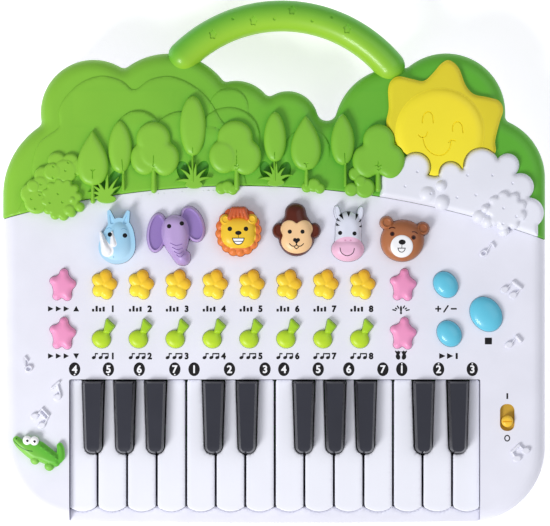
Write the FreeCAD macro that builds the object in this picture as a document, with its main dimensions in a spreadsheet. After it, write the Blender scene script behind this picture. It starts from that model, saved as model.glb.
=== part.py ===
import FreeCAD, Part

import math
import os

import Sketcher

# Toy electronic keyboard: a flat case lying on its feet, keys towards -Y, carrying handle towards +Y.
# Lengths are millimetres. The origin is under the middle of the case, on the table.

doc = FreeCAD.newDocument("toy_keyboard")
sheet = doc.addObject("Spreadsheet::Sheet", "Sizes")


# ---------------------------------------------------------------- driving dimensions

class Size:
    """A length, kept both as a number and as the sheet expression it comes from."""

    def __init__(self, value, text):
        self.value = value
        self.text = text

    def __add__(self, other):
        other = as_size(other)
        return Size(self.value + other.value, f"({self.text} + {other.text})")

    __radd__ = __add__

    def __sub__(self, other):
        other = as_size(other)
        return Size(self.value - other.value, f"({self.text} - {other.text})")

    def __mul__(self, factor):
        factor = as_size(factor)
        return Size(self.value * factor.value, f"({self.text} * {factor.text})")

    def __truediv__(self, divisor):
        return Size(self.value / divisor, f"({self.text} / {divisor:g})")

    def __neg__(self):
        return Size(-self.value, f"(-{self.text})")


def as_size(number):
    """A plain number as a Size."""
    if isinstance(number, Size):
        return number
    return Size(float(number), f"({number:.6g})")


next_row = 1


def cell(alias, value):
    """Store one driving dimension in the sheet and return it as a Size."""
    global next_row
    sheet.set(f"A{next_row}", alias)
    sheet.set(f"B{next_row}", f"{value:g}")
    sheet.setAlias(f"B{next_row}", alias)
    next_row += 1
    return Size(float(value), f"Sizes.{alias}")


# Case: two shells that meet at the split, with a green landscape cover over the rear of the top.
case_side = cell("case_side", 136)
case_front = cell("case_front", -131.25)
corner_radius = cell("corner_radius", 37.5)
front_bow_radius = cell("front_bow_radius", 4800)
foot_height = cell("foot_height", 1.2)
floor_top = cell("floor_top", 3.4)
split_height = cell("split_height", 22)
deck_height = cell("deck_height", 34)
cover_height = cell("cover_height", 36)
wall = cell("wall", 2.2)
deck_thickness = cell("deck_thickness", 2.4)
top_rounding = cell("top_rounding", 7)
bottom_rounding = cell("bottom_rounding", 4)
gap = cell("gap", 0.3)
seam_radius = cell("seam_radius", 440)
seam_centre_x = cell("seam_centre_x", -16)
seam_centre_y = cell("seam_centre_y", -401.6)
tongue_lap = cell("tongue_lap", 6)

# Hills along the rear edge, left to right: middle of the circle, its radius, and the valley after it.
HILLS = [
    (-94.5, 33.8, 41.5, 3.0),
    (-90.6, 75.2, 26.5, 3.5),
    (-53.0, 70.2, 34.6, 2.5),
    (-18.9, 72.0, 19.2, 3.0),
    (7.0, 70.8, 15.2, 5.0),
    (61.5, 66.5, 31.3, 3.0),
    (86.4, 75.2, 29.7, 3.0),
    (105.0, 42.2, 31.0, 0.0),
]
hills = []
for number, (hill_x, hill_y, hill_radius, valley_radius) in enumerate(HILLS, start=1):
    hills.append((
        cell(f"hill_{number}_x", hill_x),
        cell(f"hill_{number}_y", hill_y),
        cell(f"hill_{number}_radius", hill_radius),
        cell(f"valley_{number}_radius", valley_radius) if valley_radius else None,
    ))

# Handle: a round tube bent to an arc behind the hills, made of an upper and a lower half.
handle_x = cell("handle_x", 4)
handle_y = cell("handle_y", 53.05)
handle_bend = cell("handle_bend", 70.4)
handle_tube = cell("handle_tube", 7.8)
handle_bore = cell("handle_bore", 5.6)
handle_height = cell("handle_height", 31)
handle_first_angle = cell("handle_first_angle", 37.7)
handle_sweep = cell("handle_sweep", 98)

# Keys: they turn on one rod that runs across the case behind the visible ends.
key_pitch = cell("key_pitch", 14.7)
key_gap = cell("key_gap", 0.9)
keyboard_middle = cell("keyboard_middle", 0.4)
opening_rear = cell("opening_rear", -58.5)
opening_margin = cell("opening_margin", 0.6)
key_tip = cell("key_tip", -124.8)
key_tip_radius = cell("key_tip_radius", 10)
key_tip_sag = cell("key_tip_sag", 2.75)
pivot_y = cell("pivot_y", -52)
pivot_height = cell("pivot_height", 27.5)
rod_radius = cell("rod_radius", 1.5)
rod_clearance = cell("rod_clearance", 0.08)
white_top = cell("white_top", 31)
white_bottom = cell("white_bottom", 25.2)
black_top = cell("black_top", 37.6)
black_front = cell("black_front", -96)
black_rear = cell("black_rear", -59.2)
black_half_rear = cell("black_half_rear", 5.5)
black_half_front = cell("black_half_front", 4.5)
black_bevel = cell("black_bevel", 1.1)
black_clearance = cell("black_clearance", 0.4)
tail_end = cell("tail_end", -47.8)
tail_top = cell("tail_top", 30.6)
ledge_height = cell("ledge_height", 28)

# Buttons: caps stand through the deck, with a flange under it and a plunger over a rubber dome.
cap_clearance = cell("cap_clearance", 0.4)
cap_rise = cell("cap_rise", 3)
flange_bottom = cell("flange_bottom", 29.4)
flange_top = cell("flange_top", 31.2)
plunger_bottom = cell("plunger_bottom", 24.2)
plunger_radius = cell("plunger_radius", 2.2)
rear_row = cell("rear_row", -11.1)
front_row = cell("front_row", -35.4)
strip_start = cell("strip_start", -85)
strip_pitch = cell("strip_pitch", 18.45)
left_star_x = cell("left_star_x", -105.6)
right_star_x = cell("right_star_x", 64.6)
star_tip = cell("star_tip", 7.2)
star_valley = cell("star_valley", 4.4)
star_stretch = cell("star_stretch", 1.2)
petal_radius = cell("petal_radius", 2.9)
petal_ring_x = cell("petal_ring_x", 3.7)
petal_ring_y = cell("petal_ring_y", 4.9)
flower_heart = cell("flower_heart", 3.6)
note_head = cell("note_head", 4.6)

# Electronics stack inside the case.
board_bottom = cell("board_bottom", 18.4)
board_top = cell("board_top", 20)
mat_bottom = cell("mat_bottom", 20.3)
mat_top = cell("mat_top", 21.5)
dome_top = cell("dome_top", 22.4)
cell_radius = cell("cell_radius", 7.1)
cell_height = cell("cell_height", 10.8)
cell_length = cell("cell_length", 49)
battery_left = cell("battery_left", -76.5)
battery_right = cell("battery_right", -20.5)
battery_front = cell("battery_front", 40.5)
battery_pitch = cell("battery_pitch", 15.1)
speaker_x = cell("speaker_x", 62)
speaker_y = cell("speaker_y", 66)
speaker_radius = cell("speaker_radius", 21)
slider_x = cell("slider_x", 116.6)
slider_y = cell("slider_y", -79.3)
slider_travel = cell("slider_travel", 4)
crown_share = cell("crown_share", 0.72)

doc.recompute()


# ---------------------------------------------------------------- building blocks

def bind(item, name, size):
    """Give a property its number and tie it to the sheet."""
    item.setExpression(name, as_size(size).text)


def place(item, x, y, z):
    for axis, size in zip("xyz", (x, y, z)):
        bind(item, f"Placement.Base.{axis}", size)
    return item


def turn(item, angle, axis=(0, 0, 1)):
    item.Placement = FreeCAD.Placement(item.Placement.Base, FreeCAD.Rotation(FreeCAD.Vector(*axis), angle))
    return item


def block(name, x, y, z):
    """A box between pairs of positions on each axis."""
    item = doc.addObject("Part::Box", name)
    for side, (low, high) in zip(("Length", "Width", "Height"), (x, y, z)):
        bind(item, side, as_size(high) - low)
    return place(item, x[0], y[0], z[0])


def post(name, x, y, radius, z):
    """A round post between two heights."""
    item = doc.addObject("Part::Cylinder", name)
    bind(item, "Radius", radius)
    bind(item, "Height", as_size(z[1]) - z[0])
    return place(item, x, y, z[0])


def cross_post(name, x, y, z, radius):
    """A round post lying along X between two places."""
    item = doc.addObject("Part::Cylinder", name)
    turn(item, 90, (0, 1, 0))
    bind(item, "Radius", radius)
    bind(item, "Height", as_size(x[1]) - x[0])
    return place(item, x[0], y, z)


def oval(name, x, y, half_x, half_y, tilt, z):
    """An upright oval post; tilt is the turn of its X half-width, in degrees."""
    long_half, short_half = as_size(half_x), as_size(half_y)
    if long_half.value < short_half.value:
        long_half, short_half = short_half, long_half
        tilt += 90
    if long_half.value < short_half.value * 1.04:
        return post(name, x, y, long_half, z)
    sketch = doc.addObject("Sketcher::SketchObject", f"{name}_outline")
    turn(sketch, tilt)
    place(sketch, x, y, z[0])
    draw_oval(sketch, long_half, short_half)
    return extrude(name, sketch, as_size(z[1]) - z[0])


def extrude(name, outline, height):
    item = doc.addObject("Part::Extrusion", name)
    item.Base = outline
    item.DirMode = "Custom"
    item.Dir = FreeCAD.Vector(0, 0, 1)
    item.Solid = True
    bind(item, "LengthFwd", height)
    return item


def lobe(name, x, y, half_x, half_y, tilt, base, height):
    """A rounded lobe in plain form: a full-size oval step with a smaller oval step on top."""
    middle = as_size(base) + as_size(height) * 0.6
    top = as_size(base) + height
    return [
        oval(f"{name}_step", x, y, half_x, half_y, tilt, (base, middle)),
        oval(f"{name}_crown", x, y, as_size(half_x) * crown_share, as_size(half_y) * crown_share, tilt,
             (as_size(base), top)),
    ]


def join(name, pieces):
    item = doc.addObject("Part::MultiFuse", name)
    item.Shapes = pieces
    return item


def cut(name, base, tools):
    """Take one tool, or several joined tools, away from a base."""
    item = doc.addObject("Part::Cut", name)
    item.Base = base
    item.Tool = tools[0] if len(tools) == 1 else join(f"{name}_tools", tools)
    return item


def overlap(name, first, second):
    item = doc.addObject("Part::Common", name)
    item.Base = first
    item.Tool = second
    return item


def round_level_edges(name, base, height, radius):
    """Round every edge that lies flat at one height. The radius is read from the sheet's value."""
    doc.recompute()
    item = doc.addObject("Part::Fillet", name)
    item.Base = base
    item.Edges = [
        (index, radius, radius)
        for index, edge in enumerate(base.Shape.Edges, start=1)
        if abs(edge.BoundBox.ZMin - height) < 0.01 and abs(edge.BoundBox.ZMax - height) < 0.01
    ]
    return item


# ---------------------------------------------------------------- sketched outlines

def fix_point(sketch, geometry, point, x, y):
    """Hold one point of a sketch at a place given by the sheet."""
    for kind, size in (("DistanceX", x), ("DistanceY", y)):
        size = as_size(size)
        index = sketch.addConstraint(Sketcher.Constraint(kind, -1, 1, geometry, point, size.value))
        sketch.setExpression(f"Constraints[{index}]", size.text)


def fix_radius(sketch, geometry, radius):
    index = sketch.addConstraint(Sketcher.Constraint("Radius", geometry, radius.value))
    sketch.setExpression(f"Constraints[{index}]", radius.text)


def add_arc(sketch, x, y, radius, start, end):
    circle = Part.Circle(FreeCAD.Vector(x, y, 0), FreeCAD.Vector(0, 0, 1), radius)
    return sketch.addGeometry(Part.ArcOfCircle(circle, start, end), False)


def valley_centre(left, right, valley):
    """Where a circle of the valley's radius touches both hills from outside."""
    reach_left = left[2].value + valley
    reach_right = right[2].value + valley
    across = right[0].value - left[0].value
    along = right[1].value - left[1].value
    apart = math.hypot(across, along)
    foot = (apart ** 2 + reach_left ** 2 - reach_right ** 2) / (2 * apart)
    rise = math.sqrt(reach_left ** 2 - foot ** 2)
    return (
        left[0].value + (foot * across - rise * along) / apart,
        left[1].value + (foot * along + rise * across) / apart,
    )


def case_outline(name, inset, height):
    """The outline of the case, drawn inset by a distance, on a level plane."""
    sketch = doc.addObject("Sketcher::SketchObject", name)
    bind(sketch, "Placement.Base.z", height)
    inset = as_size(inset)
    centres = [valley_centre(a, b, a[3].value) for a, b in zip(hills, hills[1:])]

    def heading(hill, place_to):
        return math.atan2(place_to[1] - hill[1].value, place_to[0] - hill[0].value)

    hill_arcs = []
    for index, hill in enumerate(hills):
        start = heading(hill, centres[index]) if index < len(centres) else 0.0
        end = heading(hill, centres[index - 1]) if index else math.pi
        radius = hill[2] - inset
        arc = add_arc(sketch, hill[0].value, hill[1].value, radius.value, start, end)
        fix_point(sketch, arc, 3, hill[0], hill[1])
        fix_radius(sketch, arc, radius)
        hill_arcs.append(arc)

    for index, (centre_x, centre_y) in enumerate(centres):
        left, right = hills[index], hills[index + 1]
        radius = left[3] + inset
        start = math.atan2(left[1].value - centre_y, left[0].value - centre_x)
        end = math.atan2(right[1].value - centre_y, right[0].value - centre_x)
        arc = add_arc(sketch, centre_x, centre_y, radius.value, start, end)
        fix_radius(sketch, arc, radius)
        sketch.addConstraint(Sketcher.Constraint("Tangent", hill_arcs[index], 1, arc, 1))
        sketch.addConstraint(Sketcher.Constraint("Tangent", arc, 2, hill_arcs[index + 1], 2))

    bow_y = case_front + front_bow_radius
    corner_x = case_side.value - corner_radius.value
    bow_reach = front_bow_radius.value - corner_radius.value
    lean = math.asin(corner_x / bow_reach)
    corner_y = bow_y.value - bow_reach * math.cos(lean)
    side_x = case_side.value - inset.value
    right_line = add_line(sketch, (side_x, hills[-1][1].value), (side_x, corner_y))
    left_line = add_line(sketch, (-side_x, corner_y), (-side_x, hills[0][1].value))
    corner_size = corner_radius - inset
    down = -math.pi / 2
    right_corner = add_arc(sketch, corner_x, corner_y, corner_size.value, down + lean, 0)
    left_corner = add_arc(sketch, -corner_x, corner_y, corner_size.value, math.pi, 1.5 * math.pi - lean)
    front = add_arc(sketch, 0, bow_y.value, (front_bow_radius - inset).value, down - lean, down + lean)
    for line in (left_line, right_line):
        sketch.addConstraint(Sketcher.Constraint("Vertical", line))
    for corner in (left_corner, right_corner):
        fix_radius(sketch, corner, corner_size)
    fix_radius(sketch, front, front_bow_radius - inset)
    fix_point(sketch, front, 3, 0, bow_y)
    for first, first_end, second, second_end in (
        (hill_arcs[-1], 1, right_line, 1),
        (right_line, 2, right_corner, 2),
        (right_corner, 1, front, 2),
        (front, 1, left_corner, 2),
        (left_corner, 1, left_line, 1),
        (left_line, 2, hill_arcs[0], 2),
    ):
        sketch.addConstraint(Sketcher.Constraint("Tangent", first, first_end, second, second_end))
    return sketch


def add_line(sketch, start, end):
    return sketch.addGeometry(Part.LineSegment(FreeCAD.Vector(*start, 0), FreeCAD.Vector(*end, 0)), False)


def draw_outline(sketch, corners):
    """Draw a closed outline, anticlockwise. Each corner is x, y and the radius of the arc that
    leaves it, or None where a straight edge leaves it."""
    points = [(as_size(x), as_size(y)) for x, y, _ in corners]
    edges = []
    for index, (_, _, radius) in enumerate(corners):
        start = [size.value for size in points[index]]
        end = [size.value for size in points[(index + 1) % len(points)]]
        if radius is None:
            edges.append((add_line(sketch, start, end), 1, 2))
            continue
        across, along = end[0] - start[0], end[1] - start[1]
        chord = math.hypot(across, along)
        depth = math.sqrt(radius.value ** 2 - chord ** 2 / 4)
        centre_x = (start[0] + end[0]) / 2 - along / chord * depth
        centre_y = (start[1] + end[1]) / 2 + across / chord * depth
        first = math.atan2(start[1] - centre_y, start[0] - centre_x)
        last = math.atan2(end[1] - centre_y, end[0] - centre_x)
        edges.append((add_arc(sketch, centre_x, centre_y, radius.value, first, last), 1, 2))
    for index, (geometry, start_point, end_point) in enumerate(edges):
        following = edges[(index + 1) % len(edges)]
        sketch.addConstraint(Sketcher.Constraint("Coincident", geometry, end_point, following[0], following[1]))
        fix_point(sketch, geometry, start_point, *points[index])
    for (geometry, _, _), (_, _, radius) in zip(edges, corners):
        if radius is not None:
            fix_radius(sketch, geometry, radius)


def draw_oval(sketch, long_half, short_half):
    """An oval of four arcs that meet smoothly: tight arcs at the ends, wide ones along the sides."""
    half = short_half.value / long_half.value
    tight = half ** 1.6
    wide = (1 + half ** 2 - 2 * tight) / (2 * (half - tight))
    meet_x = (1 - tight) * (1 + tight / (wide - tight))
    meet_y = tight * (wide - half) / (wide - tight)
    right, left = long_half * meet_x, long_half * -meet_x
    rear, front = long_half * meet_y, long_half * -meet_y
    draw_outline(sketch, [
        (right, front, long_half * tight),
        (right, rear, long_half * wide),
        (left, rear, long_half * tight),
        (left, front, long_half * wide),
    ])


def origin_plane(body, role):
    return [feature for feature in body.Origin.OriginFeatures if feature.Role == role][0]


def body_sketch(body, name, role, offset=0.0):
    """A sketch on one of the body's own origin planes, moved along the plane's normal."""
    sketch = body.newObject("Sketcher::SketchObject", name)
    sketch.AttachmentSupport = [(origin_plane(body, role), "")]
    sketch.MapMode = "FlatFace"
    bind(sketch, "AttachmentOffset.Base.z", offset)
    return sketch


def outline_prism(name, corners, z):
    """An upright prism on a drawn outline."""
    sketch = doc.addObject("Sketcher::SketchObject", f"{name}_outline")
    bind(sketch, "Placement.Base.z", z[0])
    draw_outline(sketch, corners)
    return extrude(name, sketch, as_size(z[1]) - z[0])


# ---------------------------------------------------------------- finished pieces

nodes = []


def finish(name, item):
    """Name an object as a finished piece."""
    item.Label = name
    nodes.append((name, item))
    return item


# ---------------------------------------------------------------- places shared by several pieces

white_bosses = [(-124, -92), (124, -104), (-124, -14), (127, -8)]
cover_bosses = [(-108, 46), (-92, 82), (-8, 60), (92, 84), (112, 48)]
board_fixings = [(x, y) for y in (-50, 28.5) for x in (-108, 0, 112)]
flower_places = [(strip_start + strip_pitch * index, rear_row) for index in range(8)]
note_places = [(strip_start + strip_pitch * index, front_row) for index in range(8)]
star_places = [
    ("rear_left_star_button", left_star_x, rear_row),
    ("front_left_star_button", left_star_x, front_row),
    ("rear_right_star_button", right_star_x, rear_row),
    ("front_right_star_button", right_star_x, front_row),
]
# Oval buttons: name, x, y, half length, half width. They lean down to the right.
OVAL_TILT = -54
oval_places = [
    ("volume_button", 85.8, -11.1, 7.0, 5.8),
    ("demo_button", 87.6, -35.6, 7.0, 5.8),
    ("stop_button", 106.0, -25.9, 9.3, 7.5),
]

# Animal caps: each is a list of rounded lobes, given as offset across and along from the middle of
# the cap, half-widths, tilt, and height of the lobe's top above the deck.
ANIMALS = {
    "rhino_button": ((-78.9, 11.0), [
        (0, -2.2, 9.1, 9.5, 0, 7.5), (0, 3.5, 7.6, 8.3, 0, 6.5),
        (-3.4, 12.2, 1.9, 3.2, 20, 4.5), (3.1, 12.2, 1.9, 3.2, -20, 4.5),
        (-4.0, 0.6, 2.6, 5.0, 25, 9.5),
    ]),
    "elephant_button": ((-49.4, 15.0), [
        (0, 1.4, 6.4, 8.0, 0, 8), (-9.2, 0, 4.8, 9.8, 8, 5), (8.9, 4.2, 5.6, 9.2, -22, 5),
        (0.6, -7.0, 2.9, 5.6, 8, 7.5), (3.4, -11.6, 3.6, 2.6, 25, 6),
    ]),
    "lion_button": ((-17.75, 15.5), [
        (0, 0, 11.3, 12.4, 0, 5), (0, -0.6, 9.0, 8.0, 0, 7.5),
        (-6.6, 6.0, 2.7, 2.7, 0, 6.5), (6.9, 6.0, 2.7, 2.7, 0, 6.5),
    ]),
    "monkey_button": ((11.1, 14.4), [
        (0, 0, 8.8, 11.3, 0, 7.5), (-9.0, 1.6, 2.5, 3.0, 0, 4.5), (9.0, 1.6, 2.5, 3.0, 0, 4.5),
        (0, 12.2, 3.0, 2.4, 0, 4.5),
    ]),
    "zebra_button": ((36.8, 14.0), [
        (0, 4.2, 6.9, 7.6, 0, 7), (0, -6.6, 8.2, 6.3, 0, 7.5),
        (-5.4, 11.0, 2.0, 3.0, 25, 4.5), (6.3, 10.8, 2.0, 3.0, -25, 4.5),
    ]),
    "bear_button": ((64.25, 10.4), [
        (0, 0, 10.6, 9.7, -6, 6.5), (-8.0, 9.0, 3.4, 3.4, 0, 5), (10.0, 6.2, 3.4, 3.4, 0, 5),
        (-0.6, -2.4, 5.6, 5.2, 0, 8.5),
    ]),
}


# ---------------------------------------------------------------- case shells

def shell(name, bottom, top, rounding, thickness):
    """A tray turned upside down: the case outline, rounded at the top and hollow from below."""
    outer = extrude(f"{name}_outer", case_outline(f"{name}_outer_outline", 0, bottom), top - bottom)
    outer = round_level_edges(f"{name}_outer_round", outer, top.value, rounding.value)
    inner_top = top - thickness
    inner_outline = case_outline(f"{name}_inner_outline", wall, bottom - 1)
    inner = extrude(f"{name}_inner", inner_outline, inner_top - bottom + 1)
    inner = round_level_edges(f"{name}_inner_round", inner, inner_top.value, (rounding - wall).value)
    return cut(name, outer, [inner])


def seam_side(name, offset, z):
    """The round slab whose rim is the seam between the white deck and the green cover."""
    return post(name, seam_centre_x, seam_centre_y, seam_radius + offset, z)


def screw_bosses(name, places, top):
    posts = [post(f"{name}_{n}", x, y, 4, (split_height + gap, top)) for n, (x, y) in enumerate(places)]
    holes = [post(f"{name}_hole_{n}", x, y, 1.8, (split_height, 29)) for n, (x, y) in enumerate(places)]
    return posts, holes


def build_bottom_case():
    outer = extrude("tray_outer", case_outline("tray_outline", 0, foot_height), split_height - foot_height)
    outer = round_level_edges("tray_round", outer, foot_height.value, bottom_rounding.value)
    cavity = extrude("tray_cavity", case_outline("tray_cavity_outline", wall, floor_top),
                     split_height - floor_top + 1)
    tray = cut("tray", outer, [cavity])

    battery_rear = battery_front + battery_pitch * 3
    box_outer = block("battery_box_outer", (battery_left - 1.8, battery_right + 1.8),
                      (battery_front - 1.8, battery_rear + 1.8), (floor_top - 0.5, 19.8))
    box_room = block("battery_box_room", (battery_left, battery_right),
                     (battery_front, battery_rear), (floor_top, 18.3))
    door_hole = block("battery_door_hole", (battery_left + 2.5, battery_right - 2.5),
                      (battery_front + 1, battery_rear - 1), (0, floor_top + 1))
    additions = [tray, box_outer]
    holes = [box_room, door_hole]
    for n, (x, y) in enumerate(white_bosses + cover_bosses):
        additions.append(post(f"tray_boss_{n}", x, y, 4.5, (floor_top - 0.5, split_height)))
        holes.append(post(f"tray_boss_hole_{n}", x, y, 1.8, (0, split_height + 1)))
        holes.append(post(f"tray_boss_sink_{n}", x, y, 3.4, (0, 14)))
    for n, (x, y) in enumerate(board_fixings):
        additions.append(post(f"board_post_{n}", x, y, 3, (floor_top - 0.5, board_bottom - gap)))
        holes.append(post(f"board_post_hole_{n}", x, y, 1.3, (8, split_height)))
    for n, (x, y) in enumerate([(-104, -96), (104, -96), (-104, 64), (104, 60)]):
        additions.append(post(f"foot_{n}", x, y, 7, (0, foot_height + 0.5)))
    ring = post("speaker_ring", speaker_x, speaker_y, speaker_radius + 2.2, (floor_top - 0.5, 8))
    ring_room = post("speaker_ring_room", speaker_x, speaker_y, speaker_radius + 0.5, (floor_top, 9))
    additions.append(ring)
    holes.append(ring_room)
    for circle in range(4):
        count = max(1, 6 * circle)
        for n in range(count):
            angle = 2 * math.pi * n / count
            x = speaker_x + 4.6 * circle * math.cos(angle)
            y = speaker_y + 4.6 * circle * math.sin(angle)
            holes.append(post(f"grille_{circle}_{n}", x, y, 1.3, (0, floor_top + 1)))
    finish("bottom_case", cut("bottom_case", join("tray_with_posts", additions), holes))


def build_top_case():
    room = (flange_top - 2, deck_height + 4)
    whole = shell("upper_shell", split_height + gap, deck_height, top_rounding, deck_thickness)
    deck = overlap("deck", whole, seam_side("deck_side", -gap, (0, 60)))

    tongue_sheet = extrude("tongue_sheet", case_outline("tongue_outline", wall + 3.6, 31.8), 1.4)
    tongue_rim = seam_side("tongue_rim", tongue_lap, (0, 60))
    tongue_room = seam_side("tongue_room", -tongue_lap, (0, 60))
    tongue = cut("tongue", overlap("tongue_band", tongue_sheet, tongue_rim), [tongue_room])

    half_keyboard = key_pitch * 7
    left = keyboard_middle - half_keyboard - opening_margin
    right = keyboard_middle + half_keyboard + opening_margin
    front = key_tip - opening_margin
    inner_front = case_front + 1.5
    ledge = block("ledge", (left - 1.6, right + 1.6), (inner_front, front), (ledge_height - 2, ledge_height))
    cheeks = [
        block("left_cheek", (left - 1.6, left), (inner_front, opening_rear + 4), (24, 33)),
        block("right_cheek", (right, right + 1.6), (inner_front, opening_rear + 4), (24, 33)),
    ]
    brackets = [
        block("left_bracket", (left - 4.6, left - 1.6), (pivot_y - 3.5, pivot_y + 3.5), (24, 33)),
        block("right_bracket", (right + 1.6, right + 4.6), (pivot_y - 3.5, pivot_y + 3.5), (24, 33)),
    ]
    posts, holes = screw_bosses("deck_boss", white_bosses, 31.9)

    holes.append(block("key_opening", (left, right), (front, opening_rear), (20, 40)))
    holes.append(block("ledge_opening", (left, right), (case_front - 5, front + 1), (ledge_height, 40)))
    holes.append(cross_post("rod_seat", (left - 6, right + 6), pivot_y, pivot_height, rod_radius + rod_clearance))
    for n, (x, y) in enumerate(flower_places):
        holes += flower_shape(f"flower_hole_{n}", x, y, cap_clearance, room)
    for n, (x, y) in enumerate(note_places):
        holes += note_shape(f"note_hole_{n}", x, y, cap_clearance, room)
    for name, x, y in star_places:
        holes.append(star_shape(f"{name}_hole", x, y, cap_clearance, room))
    for name, x, y, half_x, half_y in oval_places:
        holes.append(oval(f"{name}_hole", x, y, half_x + 0.4, half_y + 0.4, OVAL_TILT, room))
    for name, (middle, lobes) in ANIMALS.items():
        for n, (across, along, half_x, half_y, tilt, _) in enumerate(lobes):
            holes.append(oval(f"{name}_hole_{n}", middle[0] + across, middle[1] + along,
                              half_x + 0.4, half_y + 0.4, tilt, room))
    holes += slot_shape("slider_slot", 3.65, room)
    finish("top_case", cut("top_case", join("deck_with_posts", [deck, tongue, ledge] + cheeks + brackets + posts),
                           holes))


def slot_shape(name, radius, z):
    """The round-ended slot along which the power slider moves."""
    slot_front = slider_y - 1.3
    slot_rear = slider_y + slider_travel + 1.3
    return [
        post(f"{name}_front", slider_x, slot_front, radius, z),
        post(f"{name}_rear", slider_x, slot_rear, radius, z),
        block(f"{name}_middle", (slider_x - radius, slider_x + radius), (slot_front, slot_rear), z),
    ]


# Trees and bushes in relief on the cover: x, y, half-width, half-length.
TREES = [
    (-90.4, 51.7, 7.4, 12.8), (-76.7, 57.5, 5.6, 12.6), (-60.2, 61.6, 8.2, 8.2), (-59.5, 51.2, 11.6, 8.8),
    (-40.6, 68.0, 6.2, 14.6), (-20.0, 62.5, 8.2, 8.2), (-19.5, 52.8, 12.4, 8.8), (0.5, 62.5, 5.4, 12.2),
    (15.8, 59.2, 7.4, 13.2), (34.2, 61.2, 5.7, 12.4), (52.4, 60.7, 7.8, 7.8), (51.8, 50.2, 11.6, 8.8),
]
BUSHES = [
    (-105.7, 34.4, 9.6), (-120.0, 34.0, 5.2), (-115.5, 45.5, 4.8), (-104.0, 48.2, 4.8), (45.3, 40.0, 4.8),
]


def handle_half(name, upper, height):
    """Half of the handle's hollow tube, above or below its middle plane."""
    profile = doc.addObject("Sketcher::SketchObject", f"{name}_profile")
    heading = FreeCAD.Rotation(FreeCAD.Vector(0, 0, 1), handle_first_angle.value)
    upright = FreeCAD.Rotation(FreeCAD.Vector(1, 0, 0), 90)
    profile.Placement = FreeCAD.Placement(FreeCAD.Vector(0, 0, 0), heading.multiply(upright))
    place(profile, handle_x, handle_y, height)
    start, end = (0, math.pi) if upper else (math.pi, 2 * math.pi)
    arcs = []
    for radius in (handle_tube, handle_bore):
        arc = add_arc(profile, handle_bend.value, 0, radius.value, start, end)
        fix_point(profile, arc, 3, handle_bend, 0)
        fix_radius(profile, arc, radius)
        for point in (1, 2):
            profile.addConstraint(Sketcher.Constraint("PointOnObject", arc, point, -1))
        arcs.append(arc)
    for point, side in ((1, 1), (2, -1)):
        if not upper:
            side = -side
        inner = (handle_bend.value + side * handle_bore.value, 0)
        outer = (handle_bend.value + side * handle_tube.value, 0)
        line = add_line(profile, outer, inner)
        profile.addConstraint(Sketcher.Constraint("Coincident", arcs[0], point, line, 1))
        profile.addConstraint(Sketcher.Constraint("Coincident", arcs[1], point, line, 2))
    item = doc.addObject("Part::Revolution", name)
    item.Source = profile
    item.Axis = FreeCAD.Vector(0, 0, 1)
    item.Solid = True
    bind(item, "Base.x", handle_x)
    bind(item, "Base.y", handle_y)
    bind(item, "Angle", handle_sweep)
    return item


def handle_end(name, angle):
    """The rounded end of the handle, lying on the hills."""
    item = doc.addObject("Part::Sphere", name)
    bind(item, "Radius", handle_tube)
    item.Angle1 = 0
    x = handle_x + handle_bend * math.cos(math.radians(angle.value))
    y = handle_y + handle_bend * math.sin(math.radians(angle.value))
    return place(item, x, y, handle_height)


def build_forest_cover():
    whole = shell("cover_shell", split_height + gap, cover_height, top_rounding, deck_thickness)
    cover = cut("cover", whole, [seam_side("cover_side", 0, (0, 60))])
    relief = []
    for n, (x, y, half_x, half_y) in enumerate(TREES):
        relief += lobe(f"tree_{n}", x, y, half_x, half_y, 0, cover_height - 0.5, 2.6)
    for n, (x, y, radius) in enumerate(BUSHES):
        relief += lobe(f"bush_{n}", x, y, radius, radius, 0, cover_height - 0.5, 2.6)
    posts, holes = screw_bosses("cover_boss", cover_bosses, 34)
    for name, x, y in badge_pegs:
        holes.append(post(f"{name}_hole", x, y, 1.8, (30, cover_height + 1)))
    handle = [
        handle_half("handle_upper", True, handle_height),
        handle_end("handle_right_end", handle_first_angle),
        handle_end("handle_left_end", handle_first_angle + handle_sweep),
    ]
    cover = join("cover_with_handle", [cover, join("handle_front", handle)])
    cover = join("cover_with_relief", [cover] + relief)
    cover = join("cover_with_posts", [cover] + posts)
    finish("forest_cover", cut("forest_cover", cover, holes))

    lower = handle_half("handle_lower", False, handle_height - gap)
    casing = extrude("casing_block", case_outline("casing_block_outline", -gap, 0), 60)
    finish("handle_back", cut("handle_back", lower, [casing]))


badge_pegs = [
    ("sun_peg_0", 76, 66), ("sun_peg_1", 92, 66),
    ("cloud_peg_0", 76, 40), ("cloud_peg_1", 104, 36),
]

# Cloud lobes: x, y, radius.
CLOUD = [
    (70.8, 47.8, 7.0), (79.0, 38.5, 7.0), (88.2, 44.8, 6.5), (103.4, 48.2, 8.5), (98.0, 38.0, 9.0),
    (116.8, 49.0, 5.7), (121.5, 38.5, 7.0), (112.0, 30.5, 10.0), (123.5, 27.0, 8.0),
    (95.5, 46.5, 7.5), (110.0, 40.5, 8.0),
]


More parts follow.
